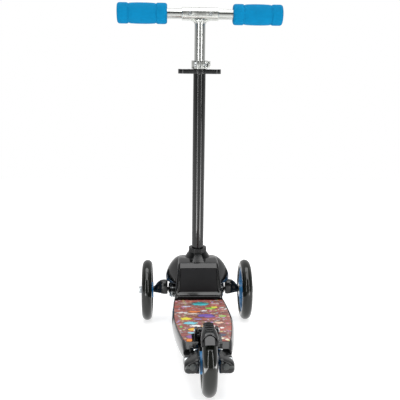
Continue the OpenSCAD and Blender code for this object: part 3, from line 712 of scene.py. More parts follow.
@dataclass
class Handlebar:
    """The T-head, its grip tubes, snap buttons and foam grips."""

    half_width: float = 145.0
    grip_length: float = 87.0
    grip_radius: float = 17.95
    bore: float = 8.9
    sleeve_half: float = 32.0
    sleeve_radius: float = 11.0
    tube_radius: float = 8.75
    button_x: float = 18.0

    def middle(self) -> Point:
        """Gives the middle of the bar in millimetres."""
        return tuple(c / MM for c in on_column(BAR_REACH).translation)

    def grip(self, side: int, name: str, node: str) -> None:
        """Builds one foam grip: two collars with a barrel between them.

        Args:
            side: 1 for the right, -1 for the left.
            name: the piece's name.
            node: the node that it stands for.
        """
        r, length = self.grip_radius, self.grip_length
        half = [(0, r - 3.2), (0.5, r - 1.9), (1.7, r - 0.7), (3.6, r - 0.12), (6, r), (15.5, r),
                (17.3, r - 0.25),
                (18.5, r - 0.9), (19.2, r - 1.75), (19.9, r - 1.5), (21.2, r - 0.85), (25, r - 0.45),
                (32, r - 0.12),
                (38, r)]
        outside = half + [(length - a, radius) for a, radius in reversed(half)]
        stations = [(0, self.bore), *outside, (length, self.bore)]
        start = self.half_width - length
        turned_stations = pipe([(side * (start + a), radius) for a, radius in stations])
        made = turned(name, Facing.X, self.middle(), turned_stations, 72, joined=True)
        smooth(made, math.radians(60))
        seat(made, "stem", "blue_foam", FoamFinish(), node)

    def sleeve(self) -> bpy.types.Object:
        """Builds the cross sleeve with its bore and button holes."""
        r, end = self.sleeve_radius, self.sleeve_half
        half = [(end, self.tube_radius), (end, r - 0.5), (end - 0.5, r)]
        stations = half + [(-a, radius) for a, radius in reversed(half)]
        made = turned("t_head_sleeve", Facing.X, (0, 0, 0), pipe(stations), 72, joined=True)
        for side in (-1, 1):
            tool = turned("hole_tool", Facing.Y, (side * self.button_x, 0, 0), pipe([(-30, 3.5), (-2, 3.5)]),
                          32)
            cut(made, tool)
        return made

    def neck(self) -> bpy.types.Object:
        """Builds the upright with its flared weld under the sleeve."""
        stations = [(-16, 9.55, 9.55), (-16, 10.3, 10.3), (-15.5, 10.75, 10.75), (-14, 10.8, 10.8),
                    (-13.4, 11.6, 10.7), (-12.4, 13.4, 10.3), (-11.4, 16.0, 9.6), (-10.6, 18.6, 8.0),
                    (-9.2, 20.0, 5.8),
                    (-6.5, 19.0, 4.0)]
        return turned("t_head_neck", Facing.Z, (0, 0, 0), stations, 64)

    def build(self) -> None:
        """Builds and seats every piece of the handlebar."""
        head = merged("t_head_cast", self.sleeve(), self.neck())
        soften(head, 0.3, 2, 50)
        laid(head, on_column(BAR_REACH))
        seat(head, "stem", "polished_alloy", POLISHED_ALLOY, "t_head")
        self.grip(-1, "foam_grip_left", "grip_left")
        self.grip(1, "foam_grip_right", "grip_right")
        dress_node("grip_tubes", BRIGHT_PLATE_CROSS)
        dress_node("inner_tube", BRIGHT_PLATE)
        eased("end_plugs", "black_plastic", MOULDED_BLACK, 0.3)
        eased("button_left", "zinc_steel", ZINC, 0.7)
        eased("button_right", "zinc_steel", ZINC, 0.7)
        dress_node("button_springs", SPRING_STEEL)


# ---------------------------------------------------------------- column


@dataclass
class Column:
    """The outer tube with its clamp, lever and grip holder."""

    def build(self) -> None:
        """Dresses and seats the pieces of the column."""
        dress_node("outer_tube", POWDER_COAT)
        eased("grip_holder", "black_plastic", MOULDED_BLACK, 0.6)
        eased("clamp_collar", "polished_alloy", POLISHED_ALLOY, 1.2)
        eased("clamp_lever", "polished_alloy", POLISHED_ALLOY, 1.1)
        eased("clamp_bolt", "zinc_steel", ZINC, 0.4)
        dress_node("lever_pin", ZINC)


# ---------------------------------------------------------------- wheels


@dataclass
class Wheel:
    """One wheel: a cast tyre on a moulded core with two bearings."""

    label: str
    body: str
    centre: Point
    radius: float
    half_width: float = 10.0
    tread: float = 15.0

    def tyre(self) -> None:
        """Builds the tyre: a round tread, flat sides with a fine moulded groove, and a seat on the core."""
        r, w = self.radius, self.half_width
        side = [(-5.0, r - 13), (-5.0, r - self.tread), (-8.1, r - self.tread), (-8.5, r - 14.6),
                (-8.9, r - 13.6),
                (-9.1, r - 13.2), (-8.9, r - 12.9), (-8.95, r - 12.4), (-9.4, r - 12.0), (-9.8, r - 11.0)]
        steps = 15
        arc = [(-w * math.cos(math.pi * i / steps), r - 10 + 10 * math.sin(math.pi * i / steps))
               for i in range(steps + 1)]
        stations = side + arc + [(-x, radius) for x, radius in reversed(side)]
        made = turned(f"tyre_cast_{self.label}", Facing.X, self.centre, pipe(stations), 128, joined=True)
        smooth(made, math.radians(40))
        seat(made, self.body, "tyre_black", CAST_TYRE, f"tyre_{self.label}")

    def build(self) -> None:
        """Builds and seats the wheel's pieces."""
        self.tyre()
        eased(f"core_{self.label}", "blue_core", BLUE_CORE, 0.7)
        eased(f"bearings_{self.label}", "zinc_steel", ZINC, 0.3)


# ---------------------------------------------------------------- steering


@dataclass
class Steering:
    """The cross beam, its kingpins, the two knuckles and the tie rod."""

    barrel_radius: float = 7.2
    arm: float = 26.0

    def horn(self, side: int) -> bpy.types.Object:
        """Builds the horn that carries the axle, from its boss to its cup.

        Args:
            side: 1 for the right, -1 for the left.

        Returns:
            The object.
        """
        # place along X, lowest and highest points, half depth, rounding
        profile = ((85.6, 56.0, 66.6, 5.2, 5), (85.3, 55.5, 67.3, 6, 6), (82.8, 55.0, 68.9, 6.8, 6),
                   (77.6, 54.4, 75.4, 9.6, 8), (72.6, 53.7, 79.1, 12.2, 9), (67.3, 52.8, 80.3, 13.6, 8),
                   (62.5, 52.6, 80.2, 13.9, 7), (58.4, 53.0, 79.4, 13.4, 5), (57.7, 54.4, 78.0, 12.2, 4))
        rings = []
        for x, low, high, depth, edge in profile:
            outline = rounded([(-depth, low, edge), (depth, low, edge), (depth, high - 2, edge + 2),
                               (0.0, high + 1.0, edge), (-depth, high - 2, edge + 2)], 4)
            rings.append([(side * x, Y_FRONT + y, z) for y, z in outline])
        made = skinned("horn", rings)
        tool = turned("axle_tool", Facing.X, (0, Y_FRONT, Z_FRONT), pipe([(side * 63.6, 4), (side * 90, 4)]),
                      32)
        return cut(made, tool)

    def knuckle(self, side: int, name: str, node: str, body: str) -> None:
        """Builds one knuckle: barrel, steering arm, link and horn.

        Args:
            side: 1 for the right, -1 for the left.
            name: the piece's name.
            node: the node that it stands for.
            body: the body that it moves with.
        """
        bore, r = 5.5, self.barrel_radius
        barrel = turned("barrel", Facing.Z, (0, 0, 0), pipe([
            (-5.5, bore), (-5.5, r - 0.5), (-5.0, r), (5.0, r), (5.5, r - 0.5), (5.5, bore)]), 48,
            joined=True)
        link = block("link", (side * 6.2, -6.5, -5.4), (side * 14, 6.5, 0.9), 1.2)
        arm_ring = rounded([(-5, -6.2, 1), (5, -6.2, 1), (6, -self.arm, 5), (3.5, -self.arm - 6, 4),
                            (-3.5, -self.arm - 6, 4), (-6, -self.arm, 5)], 4)
        arm = skinned("arm", [[(x, y, z) for x, y in arm_ring] for z in (-5.4, 0.9)])
        soften(arm, 0.7)
        inner = merged("inner", barrel, link, arm)
        laid(inner, on_kingpin(side))
        whole = merged(name, self.horn(side), inner)
        smooth(whole)
        seat(whole, body, "black_plastic", MOULDED_BLACK, node)

    def build(self) -> None:
        """Builds and seats the steering's pieces."""
        for side, label in ((-1, "left"), (1, "right")):
            body = f"{label}_knuckle"
            self.knuckle(side, f"knuckle_moulding_{label}", f"knuckle_{label}", body)
            dress_node(f"kingpin_bush_{label}", NYLON)
            eased(f"axle_bolt_{label}", "zinc_steel", ZINC, 0.5)
            eased(f"tie_pin_{label}", "zinc_steel", ZINC, 0.3)
        eased("tie_rod", "black_paint", CHASSIS_PAINT, 0.5)
        eased("cross_beam", "black_paint", CHASSIS_PAINT, 0.9)
        for node in ("beam_bolts", "kingpin_bolts", "kingpin_nuts", "kingpin_washers"):
            eased(node, "zinc_steel", ZINC, 0.35)
        dress_node("centring_springs", SPRING_STEEL)


# ---------------------------------------------------------------- hood


@dataclass
class Hood:
    """The front hood: a cowl with a framed panel, shoulders over the knuckles, and the column's socket."""

    cowl_half: float = 44.0
    taper: float = 0.13
    floor: float = 66.0
    # the cowl's side profile: place along Y, height and rounding
    profile: tuple[Point, ...] = (
        (82, 66.2, 1.5), (82.6, 70.6, 1.2), (86, 71.6, 1.2), (92.8, 76.6, 1.6), (96.6, 119.6, 1.8),
        (104, 128.4, 2),
        (114, 131, 8), (134, 135.4, 10), (168, 134, 6), (168, 100, 3), (128, 88.5, 3), (124, 66.2, 2))

    def narrowed(self, z: float) -> float:
        """Gives how much narrower the cowl is at a height."""
        return 1 - self.taper * max(0.0, z - self.floor) / 60

    def cowl(self) -> None:
        """Builds the cowl from its side profile, rounded over towards both sides."""
        outline = rounded(list(self.profile), 5)
        middle = (sum(p[0] for p in outline) / len(outline), sum(p[1] for p in outline) / len(outline))
        stops = ((1.0, 7.5), (0.992, 4.6), (0.965, 2.2), (0.92, 0.7), (0.86, 0.0))
        row = [(-share, inset) for share, inset in stops] + [(0.0, 0.0)]
        row += [(share, inset) for share, inset in reversed(stops)]
        rings = []
        for share, inset in row:
            ring = []
            for y, z in outline:
                reach = math.hypot(y - middle[0], z - middle[1])
                keep = 1 - inset / reach
                py = middle[0] + (y - middle[0]) * keep
                pz = max(self.floor + 0.1, middle[1] + (z - middle[1]) * keep)
                if z < self.floor + 1:
                    pz = z
                ring.append((share * self.cowl_half * self.narrowed(pz), py, pz))
            rings.append(ring)
        made = skinned("hood_cowl", rings)
        tool = turned("socket_tool", Facing.Z, (0, 0, 0), pipe([(-70, 18.2), (10, 18.2)]), 32)
        laid(tool, on_column(0))
        cut(made, tool)
        soften(made, 0.8, 2, 40)
        seat(made, "chassis", "gloss_black_plastic", POLISHED_BLACK, "front_hood")

    def back_wall(self, station: tuple[float, float, float, float]) -> bpy.types.Object:
        """Builds the wall that closes the arch at its rear.

        Args:
            station: the arch's first place along Y, half width, top and lower edge.

        Returns:
            The object.
        """
        y, half, top, low = station
        corners = [(-half + 1, low + 0.5, 1), (half - 1, low + 0.5, 1), (half - 1.5, low + 8, 5),
                   (0.8 * half, low + 0.72 * (top - low), 10), (0.5 * half, top - 1, 8),
                   (-0.5 * half, top - 1, 8),
                   (-0.8 * half, low + 0.72 * (top - low), 10), (-half + 1.5, low + 8, 5)]
        return skinned("back_wall", [[(x, place, z) for x, z in rounded(corners, 4)] for place in (y + 0.3,
            y + 3)])

    def shoulders(self) -> None:
        """Builds the arched shell over the knuckles, open underneath."""
        # place along Y, half width, top, lower edge
        stations = ((103, 43.2, 118, 90), (108, 46, 121, 89), (114, 48.8, 124, 88.7), (121, 52, 127.5, 88.5),
                    (130, 56, 131.5, 88.3), (138, 59.2, 134, 88.1), (146, 61, 135.6, 88),
                    (158, 61.3, 135.8, 88), (176, 61, 134.4, 88), (192, 59.5, 130.5, 88),
                    (206, 55.5, 123.5, 87.5), (218, 49, 114, 84), (227, 40, 104.5, 78), (233, 31, 96.5, 73),
                    (235.5, 24, 91, 72.5))
        rings = []
        for y, half, top, low in stations:
            ring = []
            for wall in (0.0, 2.6):
                w, t = half - wall, top - wall
                right = [(0.965 * w, low, 1.0), (w, low + 6, 6), (0.975 * w, low + 0.38 * (t - low), 10),
                         (0.82 * w, low + 0.74 * (t - low), 14), (0.6 * w, t - 0.4, 12)]
                corners = right + [(-x, z, edge) for x, z, edge in reversed(right)]
                ring.append(rounded(corners, 4))
            outline = ring[0] + ring[1][::-1]
            rings.append([(x, y, z) for x, z in outline])
        made = merged("hood_shoulders", skinned("arch", rings), self.back_wall(stations[0]))
        tool = turned("socket_tool", Facing.Z, (0, 0, 0), pipe([(-70, 18.2), (10, 18.2)]), 32)
        laid(tool, on_column(0))
        cut(made, tool)
        smooth(made, math.radians(45))
        seat(made, "chassis", "gloss_black_plastic", POLISHED_BLACK, "front_hood")

    def panel(self) -> None:
        """Builds the dull panel and the two raised rails beside it."""
        def at(z: float) -> float:
            """Gives the cowl's rear face at a height."""
            return 92.8 + (z - 76.6) / 43 * 3.8

        rings = []
        for z, half in ((77.6, 34.4), (118.8, 32.6)):
            rings.append([(x, y, z) for x, y in rounded([
                (-half, at(z) - 0.7, 0.5), (half, at(z) - 0.7, 0.5), (half, at(z) + 3, 0.3),
                (-half, at(z) + 3, 0.3)], 3)])
        plate = skinned("hood_panel_plate", rings)
        soften(plate, 0.3)
        seat(plate, "chassis", "gloss_black_plastic", DULL_BLACK, "hood_panel")
        for side, label in ((-1, "left"), (1, "right")):
            rows = []
            for z, x, size in ((76, 37.4, 0.6), (77.2, 37.2, 1.5), (97, 36.2, 1.7), (118, 34.7, 1.5),
                               (119.6, 34.5, 0.6)):
                rows.append([(side * (x + dx), y, z) for dx, y in rounded([
                    (-size, at(z) - 1.9 * size / 1.6, 1), (size, at(z) - 1.9 * size / 1.6, 1),
                    (size, at(z) + 2, 0.3),
                    (-size, at(z) + 2, 0.3)], 3)])
            rail = skinned(f"hood_rail_{label}", rows)
            smooth(rail)
            seat(rail, "chassis", "gloss_black_plastic", POLISHED_BLACK)

    def tongue(self) -> None:
        """Builds the ramp that runs from the collar's foot down to the cowl's ridge."""
        rings = []
        for y, z, half in ((105.5, 128.4, 14.5), (108, 130.2, 13.6), (114, 134.6, 11.4), (121, 140.2, 8.6),
                           (126, 143.0, 7.6),
                           (133, 143.5, 7.6)):
            rings.append([(x, y, h) for x, h in rounded([
                (-half, z - 8, 1), (half, z - 8, 1), (half * 0.86, z, 1.8), (-half * 0.86, z, 1.8)], 4)])
        made = skinned("collar_tongue", rings)
        smooth(made, math.radians(50))
        seat(made, "chassis", "black_plastic", MOULDED_BLACK)

    def skirt(self) -> None:
        """Builds the flared skirt that runs from the collar's foot out onto the hood."""
        stations = pipe([(-8, 16.9), (-8, 17.3), (-9.5, 17.8), (-12, 19.2), (-14, 20.9), (-16.5, 22.1),
                         (-18.5, 23.6),
                         (-20.5, 26.2), (-22, 27.4), (-23.5, 27.4), (-23.5, 16.9)])
        made = turned("collar_skirt", Facing.Z, (0, 0, 0), stations, 64, joined=True)
        laid(made, on_column(0))
        smooth(made, math.radians(50))
        seat(made, "chassis", "black_plastic", POLISHED_BLACK)

    def build(self) -> None:
        """Builds and seats the hood's pieces."""
        self.skirt()
        self.cowl()
        self.shoulders()
        self.panel()
        self.tongue()
        eased("socket", "black_plastic", MOULDED_BLACK, 1.0, 25)
        eased("hood_screws", "zinc_steel", MOULDED_BLACK, 0.4)
        eased("socket_screws", "zinc_steel", ZINC, 0.4)


# ---------------------------------------------------------------- deck


@dataclass
class Deck:
    """The footboard: its moulded shell with ribs underneath, the printed sheet and the axle housings."""

    front: float = 106.5
    rear: float = -190.0
    top: float = 66.0
    bottom: float = 38.0
    sides: tuple[Flat, ...] = ((0, 46), (0.06, 47), (0.16, 48.4), (0.25, 49.1), (0.337, 49.5), (0.42, 49.55),
                               (0.506, 49.5), (0.61, 48.2), (0.708, 46), (0.8, 43), (0.877, 40.2),
                               (0.944, 37), (1, 33.6))
    slot_half: float = 13.0
    slot_front: float = -162.0

    def shell(self) -> None:
        """Builds the channel-shaped shell, rounds its rim and cuts the wheel's slot."""
        rings = []
        for share, w in (*self.sides[:-1], (0.9733, 35.2), (1, 33.6)):
            y = self.front - share * (self.front - self.rear)
            low, top = self.bottom, self.top if share < 1 else self.top - 7.8
            corners = [(-w + 5.5, low, 1.0), (-w + 1.6, low + 5, 6), (-w, low + 14, 8),
                       (-w + 0.5, top - 5, 4),
                       (-w + 3.2, top, 2.4), (-w + 4.3, top - 0.2, 0.4), (-w + 4.6, top - 1.4, 0.2),
                       (w - 4.6, top - 1.4, 0.2), (w - 4.3, top - 0.2, 0.4), (w - 3.2, top, 2.4),
                       (w - 0.5, top - 5, 4), (w, low + 14, 8), (w - 1.6, low + 5, 6), (w - 5.5, low, 1.0),
                       (w - 7.5, low, 1.0), (w - 5, low + 7, 3), (w - 5, top - 6, 2), (-w + 5, top - 6, 2),
                       (-w + 5, low + 7, 3), (-w + 7.5, low, 1.0)]
            rings.append([(x, y, z) for x, z in rounded(corners, 3)])
        made = skinned("deck_moulding", rings)
        slot = [[(x, y, z) for x, y in rounded([
            (-self.slot_half, self.rear - 8, 0.1), (self.slot_half, self.rear - 8, 0.1),
            (self.slot_half, self.slot_front, 5), (-self.slot_half, self.slot_front, 5)], 5)] for z in (30,
                80)]
        cut(made, skinned("slot_tool", slot))
        smooth(made, math.radians(35))
        parts = [made]
        for i in range(1, 7):
            y = self.front - 42 * i
            half = 40 if i < 5 else 34
            parts.append(block("rib", (-half, y, 41), (half, y + 3, 60.5), 0.5))
        for x in (-20, 20):
            parts.append(block("rib", (x - 1.5, -150, 41), (x + 1.5, self.front - 2, 60.5), 0.5))
        parts.append(block("tail", (-21, self.slot_front + 0.2, 38), (21, self.slot_front + 18, 63.5), 1.2))
        for side in (-1, 1):
            parts.append(block("tail_cheek", (side * self.slot_half, self.rear + 0.5, 38.5),
                               (side * 21, -160, 63.8), 1.0))
        parts.append(block("end_wall", (-43, self.front - 4, 38.5), (43, self.front - 0.3, 62), 0.8))
        parts.append(block("neck", (-30, 100.5, 38), (30, 208.5, 50), 2.0))
        parts.append(block("pillar", (-24, 120, 49), (24, 160, 84), 1.5))
        saddle = block("saddle", (-28, -9, -18.3), (28, 9, -9.3), 0.8)
        laid(saddle, Matrix.Translation(Vector((0, Y_FRONT, KINGPIN[2])) * MM)
             @ Matrix.Rotation(-KINGPIN_LEAN, 4, "X"))
        parts.append(saddle)
        whole = merged("deck_moulding", *parts)
        seat(whole, "chassis", "black_plastic", POLISHED_BLACK, "deck_shell")

    def housing(self, side: int) -> tuple[bpy.types.Object, bpy.types.Object]:
        """Builds one axle housing with a sloped top and a scalloped lower edge, and the bosses on its rear.

        Args:
            side: 1 for the right, -1 for the left.

        Returns:
            The housing and its bosses.
        """
        rings = []
        # place along Y and how far the outline is drawn in there
        for y, inset in ((-189.9, 0.2), (-200, 0.0), (-224, 0.0), (-230, 0.5), (-232.6, 1.6), (-233.5, 3.2)):
            corners = [(13.1 + inset * 0.3, 36 + inset, 1.0), (30.0 - inset, 36 + inset, 3),
                       (33.4 - inset, 39 + inset, 3),
                       (33.4 - inset, 49 - inset, 3), (30.5 - inset, 51.5 - inset, 3), (17.5, 57 - inset, 3),
                       (13.1 + inset * 0.3, 57 - inset, 1.0)]
            rings.append([(side * x, y, z) for x, z in rounded(corners, 4)])
        made = skinned("housing", rings)
        for x, z, r in ((18.6, 35.4, 2.6), (24.6, 35.2, 2.0), (28.4, 35.0, 1.5)):
            cut(made, turned("scallop_tool", Facing.Y, (side * x, 0, z), pipe([(-250, r), (-184, r)]), 24))
        cut(made, turned("recess_tool", Facing.X, (0, Y_REAR, Z_REAR),
                         pipe([(side * 27, 8), (side * 40, 8)]), 40))
        cut(made, turned("bore_tool", Facing.X, (0, Y_REAR, Z_REAR), pipe([(side * 10, 4), (side * 30, 4)]),
                         32))
        soften(made, 0.5, 2, 40)
        boss = turned("boss", Facing.Y, (side * 21.5, 0, 46.2), pipe([
            (-228, 4.6), (-233.6, 4.5), (-234.6, 3.9), (-235.0, 2.8)]), 40)
        ridge = block("ridge", (side * 23, -234.4, 44.2), (side * 31.6, -229, 47.6), 1.4)
        pip = turned("pip", Facing.Y, (side * 16.6, 0, 52.0), pipe([
            (-228, 2.1), (-233.2, 2.0), (-233.8, 1.4)]), 24)
        return made, merged("bosses", smooth(boss), ridge, smooth(pip))

    def build(self) -> None:
        """Builds and seats the deck's pieces."""
        self.shell()
        dress_node("deck_grip_sheet", PrintedSheet())
        left, right = self.housing(-1), self.housing(1)
        seat(merged("axle_housing_pair", left[0], right[0]), "chassis", "black_plastic", MOULDED_BLACK,
             "axle_housings")
        # the bosses are painted grey: a painted highlight on black plastic
        seat(merged("axle_housing_bosses", left[1], right[1]), "chassis", "black_plastic", BOSS_HIGHLIGHT_GREY)
        plug = turned("housing_plug_left", Facing.Z, (-22.5, -191.5, 0), pipe([
            (54, 5.6), (60.2, 5.6), (61.2, 4.8)]), 6)
        seat(soften(plug, 0.5), "chassis", "black_plastic", POLISHED_BLACK)
        eased("housing_screws", "zinc_steel", ZINC, 0.4)
        eased("rear_axle_bolt", "zinc_steel", ZINC, 0.4)
        eased("rear_axle_nut", "zinc_steel", ZINC, 0.4)


# ---------------------------------------------------------------- brake


@dataclass
class Brake:
    """The fender that is pressed onto the rear tyre, with its bracket, pin and spring."""

    inner: float = 48.5
    half: float = 12.0
    root: float = 30.0
    lip: float = 138.0
    rib_angles: list[float] = field(default_factory=lambda: [66 + 7 * i for i in range(7)])

    def around(self, angle: float, x: float, radius: float) -> Point:
        """Gives a point about the rear axle in millimetres."""
        a = math.radians(angle)
        return x, Y_REAR + radius * math.cos(a), Z_REAR + radius * math.sin(a)

    def fender(self) -> None:
        """Builds the fender: a crowned channel that flares at its rear lip, with its hinge barrels."""
        r, half = self.inner, self.half
        rings = []
        steps = 26
        for i in range(steps + 1):
            share = i / steps
            angle = self.root + (self.lip - self.root) * share
            flare = 1.6 * max(0.0, (share - 0.86) / 0.14) ** 2
            flange = 4.2 * min(1.0, share / 0.12) * (1 - 0.55 * max(0.0, (share - 0.8) / 0.2))
            open_share = min(1.0, max(0.0, (share - 0.4) / 0.5))
            w = 8.2 + (half - 0.3 - 8.2) * open_share * open_share * (3 - 2 * open_share)
            deep = r - 4.6 + (4.6 - flange)
            corners = [(-w, deep, 0.4), (-w * 0.96, r - 1.6 + flare, 3), (-w * 0.62, r + 2.6 + flare, 5),
                       (w * 0.62, r + 2.6 + flare, 5), (w * 0.96, r - 1.6 + flare, 3), (w, deep, 0.4),
                       (w - 1.4, deep, 0.4), (w * 0.96 - 1.7, r - 2.6 + flare, 2),
                       (w * 0.5, r + 0.6 + flare, 4),
                       (-w * 0.5, r + 0.6 + flare, 4), (-w * 0.96 + 1.7, r - 2.6 + flare, 2),
                       (-w + 1.4, deep, 0.4)]
            rings.append([self.around(angle, x, radius) for x, radius in rounded(corners, 4)])
        arch = skinned("arch", rings)
        smooth(arch, math.radians(40))
        hinge = (0.0, Y_REAR + 55.5, 73.0)
        parts = [arch]
        for side in (-1, 1):
            parts.append(turned("barrel", Facing.X, hinge, pipe([
                (side * 5.5, 2.55), (side * 5.5, 4.7), (side * 5.9, 5.0), (side * 12.3, 5.0),
                (side * 12.7, 4.7),
                (side * 12.7, 2.55)]), 40, joined=True))
            smooth(parts[-1])
            rows = []
            for y, z in ((-169.0, 68.4), (-160.4, 70.8)):
                rows.append([(side * x, y, z + h) for x, h in rounded([
                    (5.6, -1.6, 0.6), (10.7, -1.6, 0.6), (10.7, 2.2, 0.8), (5.6, 2.2, 0.8)], 3)])
            parts.append(skinned("strap", rows))
            smooth(parts[-1])
        whole = merged("brake_fender_moulding", *parts)
        seat(whole, "brake", "gloss_black_plastic", POLISHED_BLACK, "brake_fender", "fender_flanges")

    def brow(self) -> None:
        """Builds the raised arch across the rear of the fender and the lip under it."""
        rows = []
        steps = 18
        for i in range(steps + 1):
            t = -1 + 2 * i / steps
            x = t * (self.half - 0.7)
            angle = 119.5 + 12 * t * t
            drop = 2.1 * abs(t) ** 3
            size = 0.95 if abs(t) < 0.95 else 0.4
            ring = []
            for k in range(10):
                a = 2 * math.pi * k / 10
                ring.append(self.around(angle + size * 1.25 * math.cos(a), x,
                                        self.inner + 3.1 - drop + size * math.sin(a)))
            rows.append(ring)
        made = skinned("brake_fender_brow", rows)
        smooth(made, math.radians(60))
        seat(made, "brake", "gloss_black_plastic", POLISHED_BLACK)

    def pad(self) -> None:
        """Builds the ribbed tread pad on the top of the fender."""
        base_rings = []
        for i in range(11):
            angle = 64 + 4.8 * i
            rise = 0.6 if i in (0, 10) else 1.0
            base_rings.append([self.around(angle, x, radius) for x, radius in rounded([
                (-6.2, self.inner + 0.6, 0.3), (-5.6, self.inner + 2.4 + rise, 2),
                (5.6, self.inner + 2.4 + rise, 2),
                (6.2, self.inner + 0.6, 0.3)], 3)])
        parts = [skinned("pad_base", base_rings)]
        for angle in self.rib_angles:
            rows = []
            for x in (-6.4, -5.9, -4.4, -2.2, 0, 2.2, 4.4, 5.9, 6.4):
                drop = 0.035 * x * x + (0.5 if abs(x) > 6 else 0.0)
                rows.append([self.around(angle + da, x, radius) for da, radius in rounded([
                    (-1.3, self.inner + 2.4 - drop, 0.2), (-0.9, self.inner + 4.8 - drop, 0.5),
                    (0.9, self.inner + 4.8 - drop, 0.5), (1.3, self.inner + 2.4 - drop, 0.2)], 3)])
            parts.append(skinned("rib", rows))
        for part in parts:
            smooth(part)
        whole = merged("brake_pad_moulding", *parts)
        seat(whole, "brake", "gloss_black_plastic", MOULDED_BLACK, "brake_tread_pad")

    def build(self) -> None:
        """Builds and seats the brake's pieces."""
        self.fender()
        self.brow()
        self.pad()
        eased("brake_bracket", "black_plastic", MOULDED_BLACK, 0.8)
        eased("brake_pin", "zinc_steel", ZINC, 0.4)
        dress_node("brake_spring", SPRING_STEEL)


# ---------------------------------------------------------------- studio


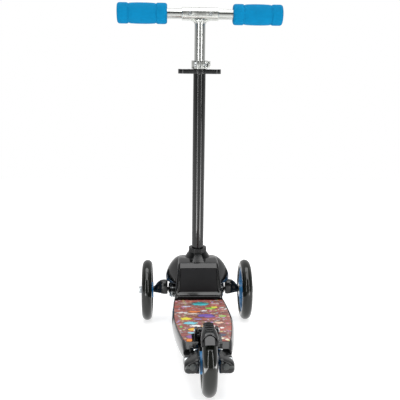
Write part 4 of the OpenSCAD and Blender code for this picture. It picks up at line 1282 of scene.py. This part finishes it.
@dataclass
class Studio:
    """A plain white floor, a pale sky, soft boxes and the camera."""

    eye: Point = (-0.0489, -0.9879, 0.3032)
    yaw: float = 2.7
    pitch: float = 3.0
    roll: float = 0.2
    lens: float = 53.25

    def floor(self) -> None:
        """Lays the floor: white from every side to the eye, and dim in front of the object to reflections."""
        take()
        bpy.ops.mesh.primitive_plane_add(size=30, location=(0, 0, -0.0004))
        ground = named("studio_floor")
        material = bpy.data.materials.new("studio_paper_white")
        material.use_nodes = True
        tree = material.node_tree
        tree.nodes.clear()
        shader = add(tree, "ShaderNodeBsdfPrincipled", {
            "Base Color": linear("C4C4C4"), "Roughness": 0.9, "Emission Color": (1, 1, 1, 1)})
        where = add(tree, "ShaderNodeTexCoord")
        parts = add(tree, "ShaderNodeSeparateXYZ", links={0: where.outputs["Object"]})
        glow = add(tree, "ShaderNodeMapRange", {"From Min": -0.8, "From Max": -0.25, "To Min": 0.2,
                                                "To Max": 0.72},
                   {"Value": parts.outputs["Y"]})
        distance = add(tree, "ShaderNodeVectorMath", {"operation": "LENGTH"}, {0: where.outputs["Object"]})
        seen = add(tree, "ShaderNodeMapRange", {"From Min": 0.5, "From Max": 1.5, "To Min": 0.72,
                                                "To Max": 1.02},
                   {"Value": distance.outputs["Value"]})
        path = add(tree, "ShaderNodeLightPath")
        level = add(tree, "ShaderNodeMix", {"data_type": "FLOAT"},
                    {0: path.outputs["Is Camera Ray"], 2: glow.outputs[0], 3: seen.outputs[0]})
        tree.links.new(level.outputs[0], shader.inputs["Emission Strength"])
        add(tree, "ShaderNodeOutputMaterial", links={"Surface": shader.outputs[0]})
        ground.data.materials.append(material)

    def sky(self) -> None:
        """Makes the surroundings white ahead and above, and dim behind the camera."""
        world = bpy.data.worlds.new("studio_sky")
        bpy.context.scene.world = world
        world.use_nodes = True
        tree = world.node_tree
        tree.nodes.clear()
        where = add(tree, "ShaderNodeTexCoord")
        parts = add(tree, "ShaderNodeSeparateXYZ", links={0: where.outputs["Generated"]})
        shade = add(tree, "ShaderNodeMapRange", {"From Min": -0.5, "From Max": 0.45, "To Min": 0.1,
                                                 "To Max": 0.62,
                    "interpolation_type": "SMOOTHSTEP"}, {"Value": parts.outputs["Y"]})
        path = add(tree, "ShaderNodeLightPath")
        level = add(tree, "ShaderNodeMix", {"data_type": "FLOAT", 3: 1.0},
                    {0: path.outputs["Is Camera Ray"], 2: shade.outputs[0]})
        background = add(tree, "ShaderNodeBackground", {"Color": (1, 1, 1, 1)},
                         {"Strength": level.outputs[0]})
        add(tree, "ShaderNodeOutputWorld", links={"Surface": background.outputs[0]})

    def box_light(self, name: str, where: Point, aim: Point, size: Flat, watts: float) -> None:
        """Hangs one soft box.

        Args:
            name: its name.
            where: its place in metres.
            aim: the point that it faces.
            size: its width and height in metres.
            watts: its power.
        """
        data = bpy.data.lights.new(name, "AREA")
        data.shape = "RECTANGLE"
        data.size, data.size_y = size
        data.energy = watts
        lamp = bpy.data.objects.new(name, data)
        bpy.context.scene.collection.objects.link(lamp)
        lamp.location = where
        lamp.rotation_euler = (Vector(aim) - Vector(where)).to_track_quat("-Z", "Y").to_euler()

    def floor_light(self, name: str, azimuth: float, near: float, far: float, width: float,
                    watts: float) -> None:
        """Lays one thin lamp on the floor behind the camera, to be seen only as a line in the column.

        Args:
            name: its name.
            azimuth: degrees to the right of straight back from the scooter.
            near: its near end's distance in metres.
            far: its far end's distance.
            width: its width.
            watts: its power.
        """
        data = bpy.data.lights.new(name, "AREA")
        data.shape = "RECTANGLE"
        data.size, data.size_y = width, far - near
        data.energy = watts
        lamp = bpy.data.objects.new(name, data)
        bpy.context.scene.collection.objects.link(lamp)
        turn, middle = math.radians(azimuth), (near + far) / 2
        lamp.location = (middle * math.sin(turn), 0.1 - middle * math.cos(turn), 0.003)
        lamp.rotation_euler = (math.pi, 0, turn)
        lamp.visible_camera = False

    def camera(self) -> None:
        """Sets up the camera."""
        data = bpy.data.cameras.new("camera")
        data.lens = self.lens
        data.sensor_width = 36.0
        eye = bpy.data.objects.new("camera", data)
        bpy.context.scene.collection.objects.link(eye)
        turn = (Matrix.Rotation(-math.radians(self.yaw), 4,
                                "Z") @ Matrix.Rotation(math.radians(90 - self.pitch), 4, "X")
                @ Matrix.Rotation(math.radians(self.roll), 4, "Z"))
        eye.matrix_world = Matrix.Translation(self.eye) @ turn
        bpy.context.scene.camera = eye

    def build(self) -> None:
        """Sets the whole studio."""
        self.floor()
        self.sky()
        self.box_light("strip_left", (-0.85, -1.35, 0.75), (0, 0.05, 0.3), (0.16, 1.9), 9)
        self.box_light("strip_right", (0.95, -1.2, 0.75), (0, 0.05, 0.3), (0.16, 1.9), 8)
        self.box_light("overhead", (0, -0.35, 1.9), (0, -0.1, 0), (1.7, 1.9), 34)
        self.floor_light("line_left", -30, 0.35, 1.7, 0.13, 5.0)
        self.floor_light("line_right", 46, 0.35, 1.7, 0.15, 5.5)
        self.camera()
        bpy.context.scene.view_settings.view_transform = "Standard"
        bpy.context.scene.view_settings.look = "None"


def main() -> None:
    """Builds the scooter's looks, sub-assembly by sub-assembly, and the studio round it."""
    logging.basicConfig(level=logging.INFO, format="%(name)s: %(message)s")
    assemblies = [
        Handlebar(), Column(),
        Wheel("front_left", "left_front_wheel", (-HALF_TRACK, Y_FRONT, Z_FRONT), Z_FRONT),
        Wheel("front_right", "right_front_wheel", (HALF_TRACK, Y_FRONT, Z_FRONT), Z_FRONT),
        Wheel("rear", "rear_wheel", (0.0, Y_REAR, Z_REAR), Z_REAR),
        Steering(), Hood(), Deck(), Brake(), Studio()]
    for assembly in assemblies:
        assembly.build()
        LOG.info("%s is done", type(assembly).__name__)


if __name__ == "__main__":
    main()
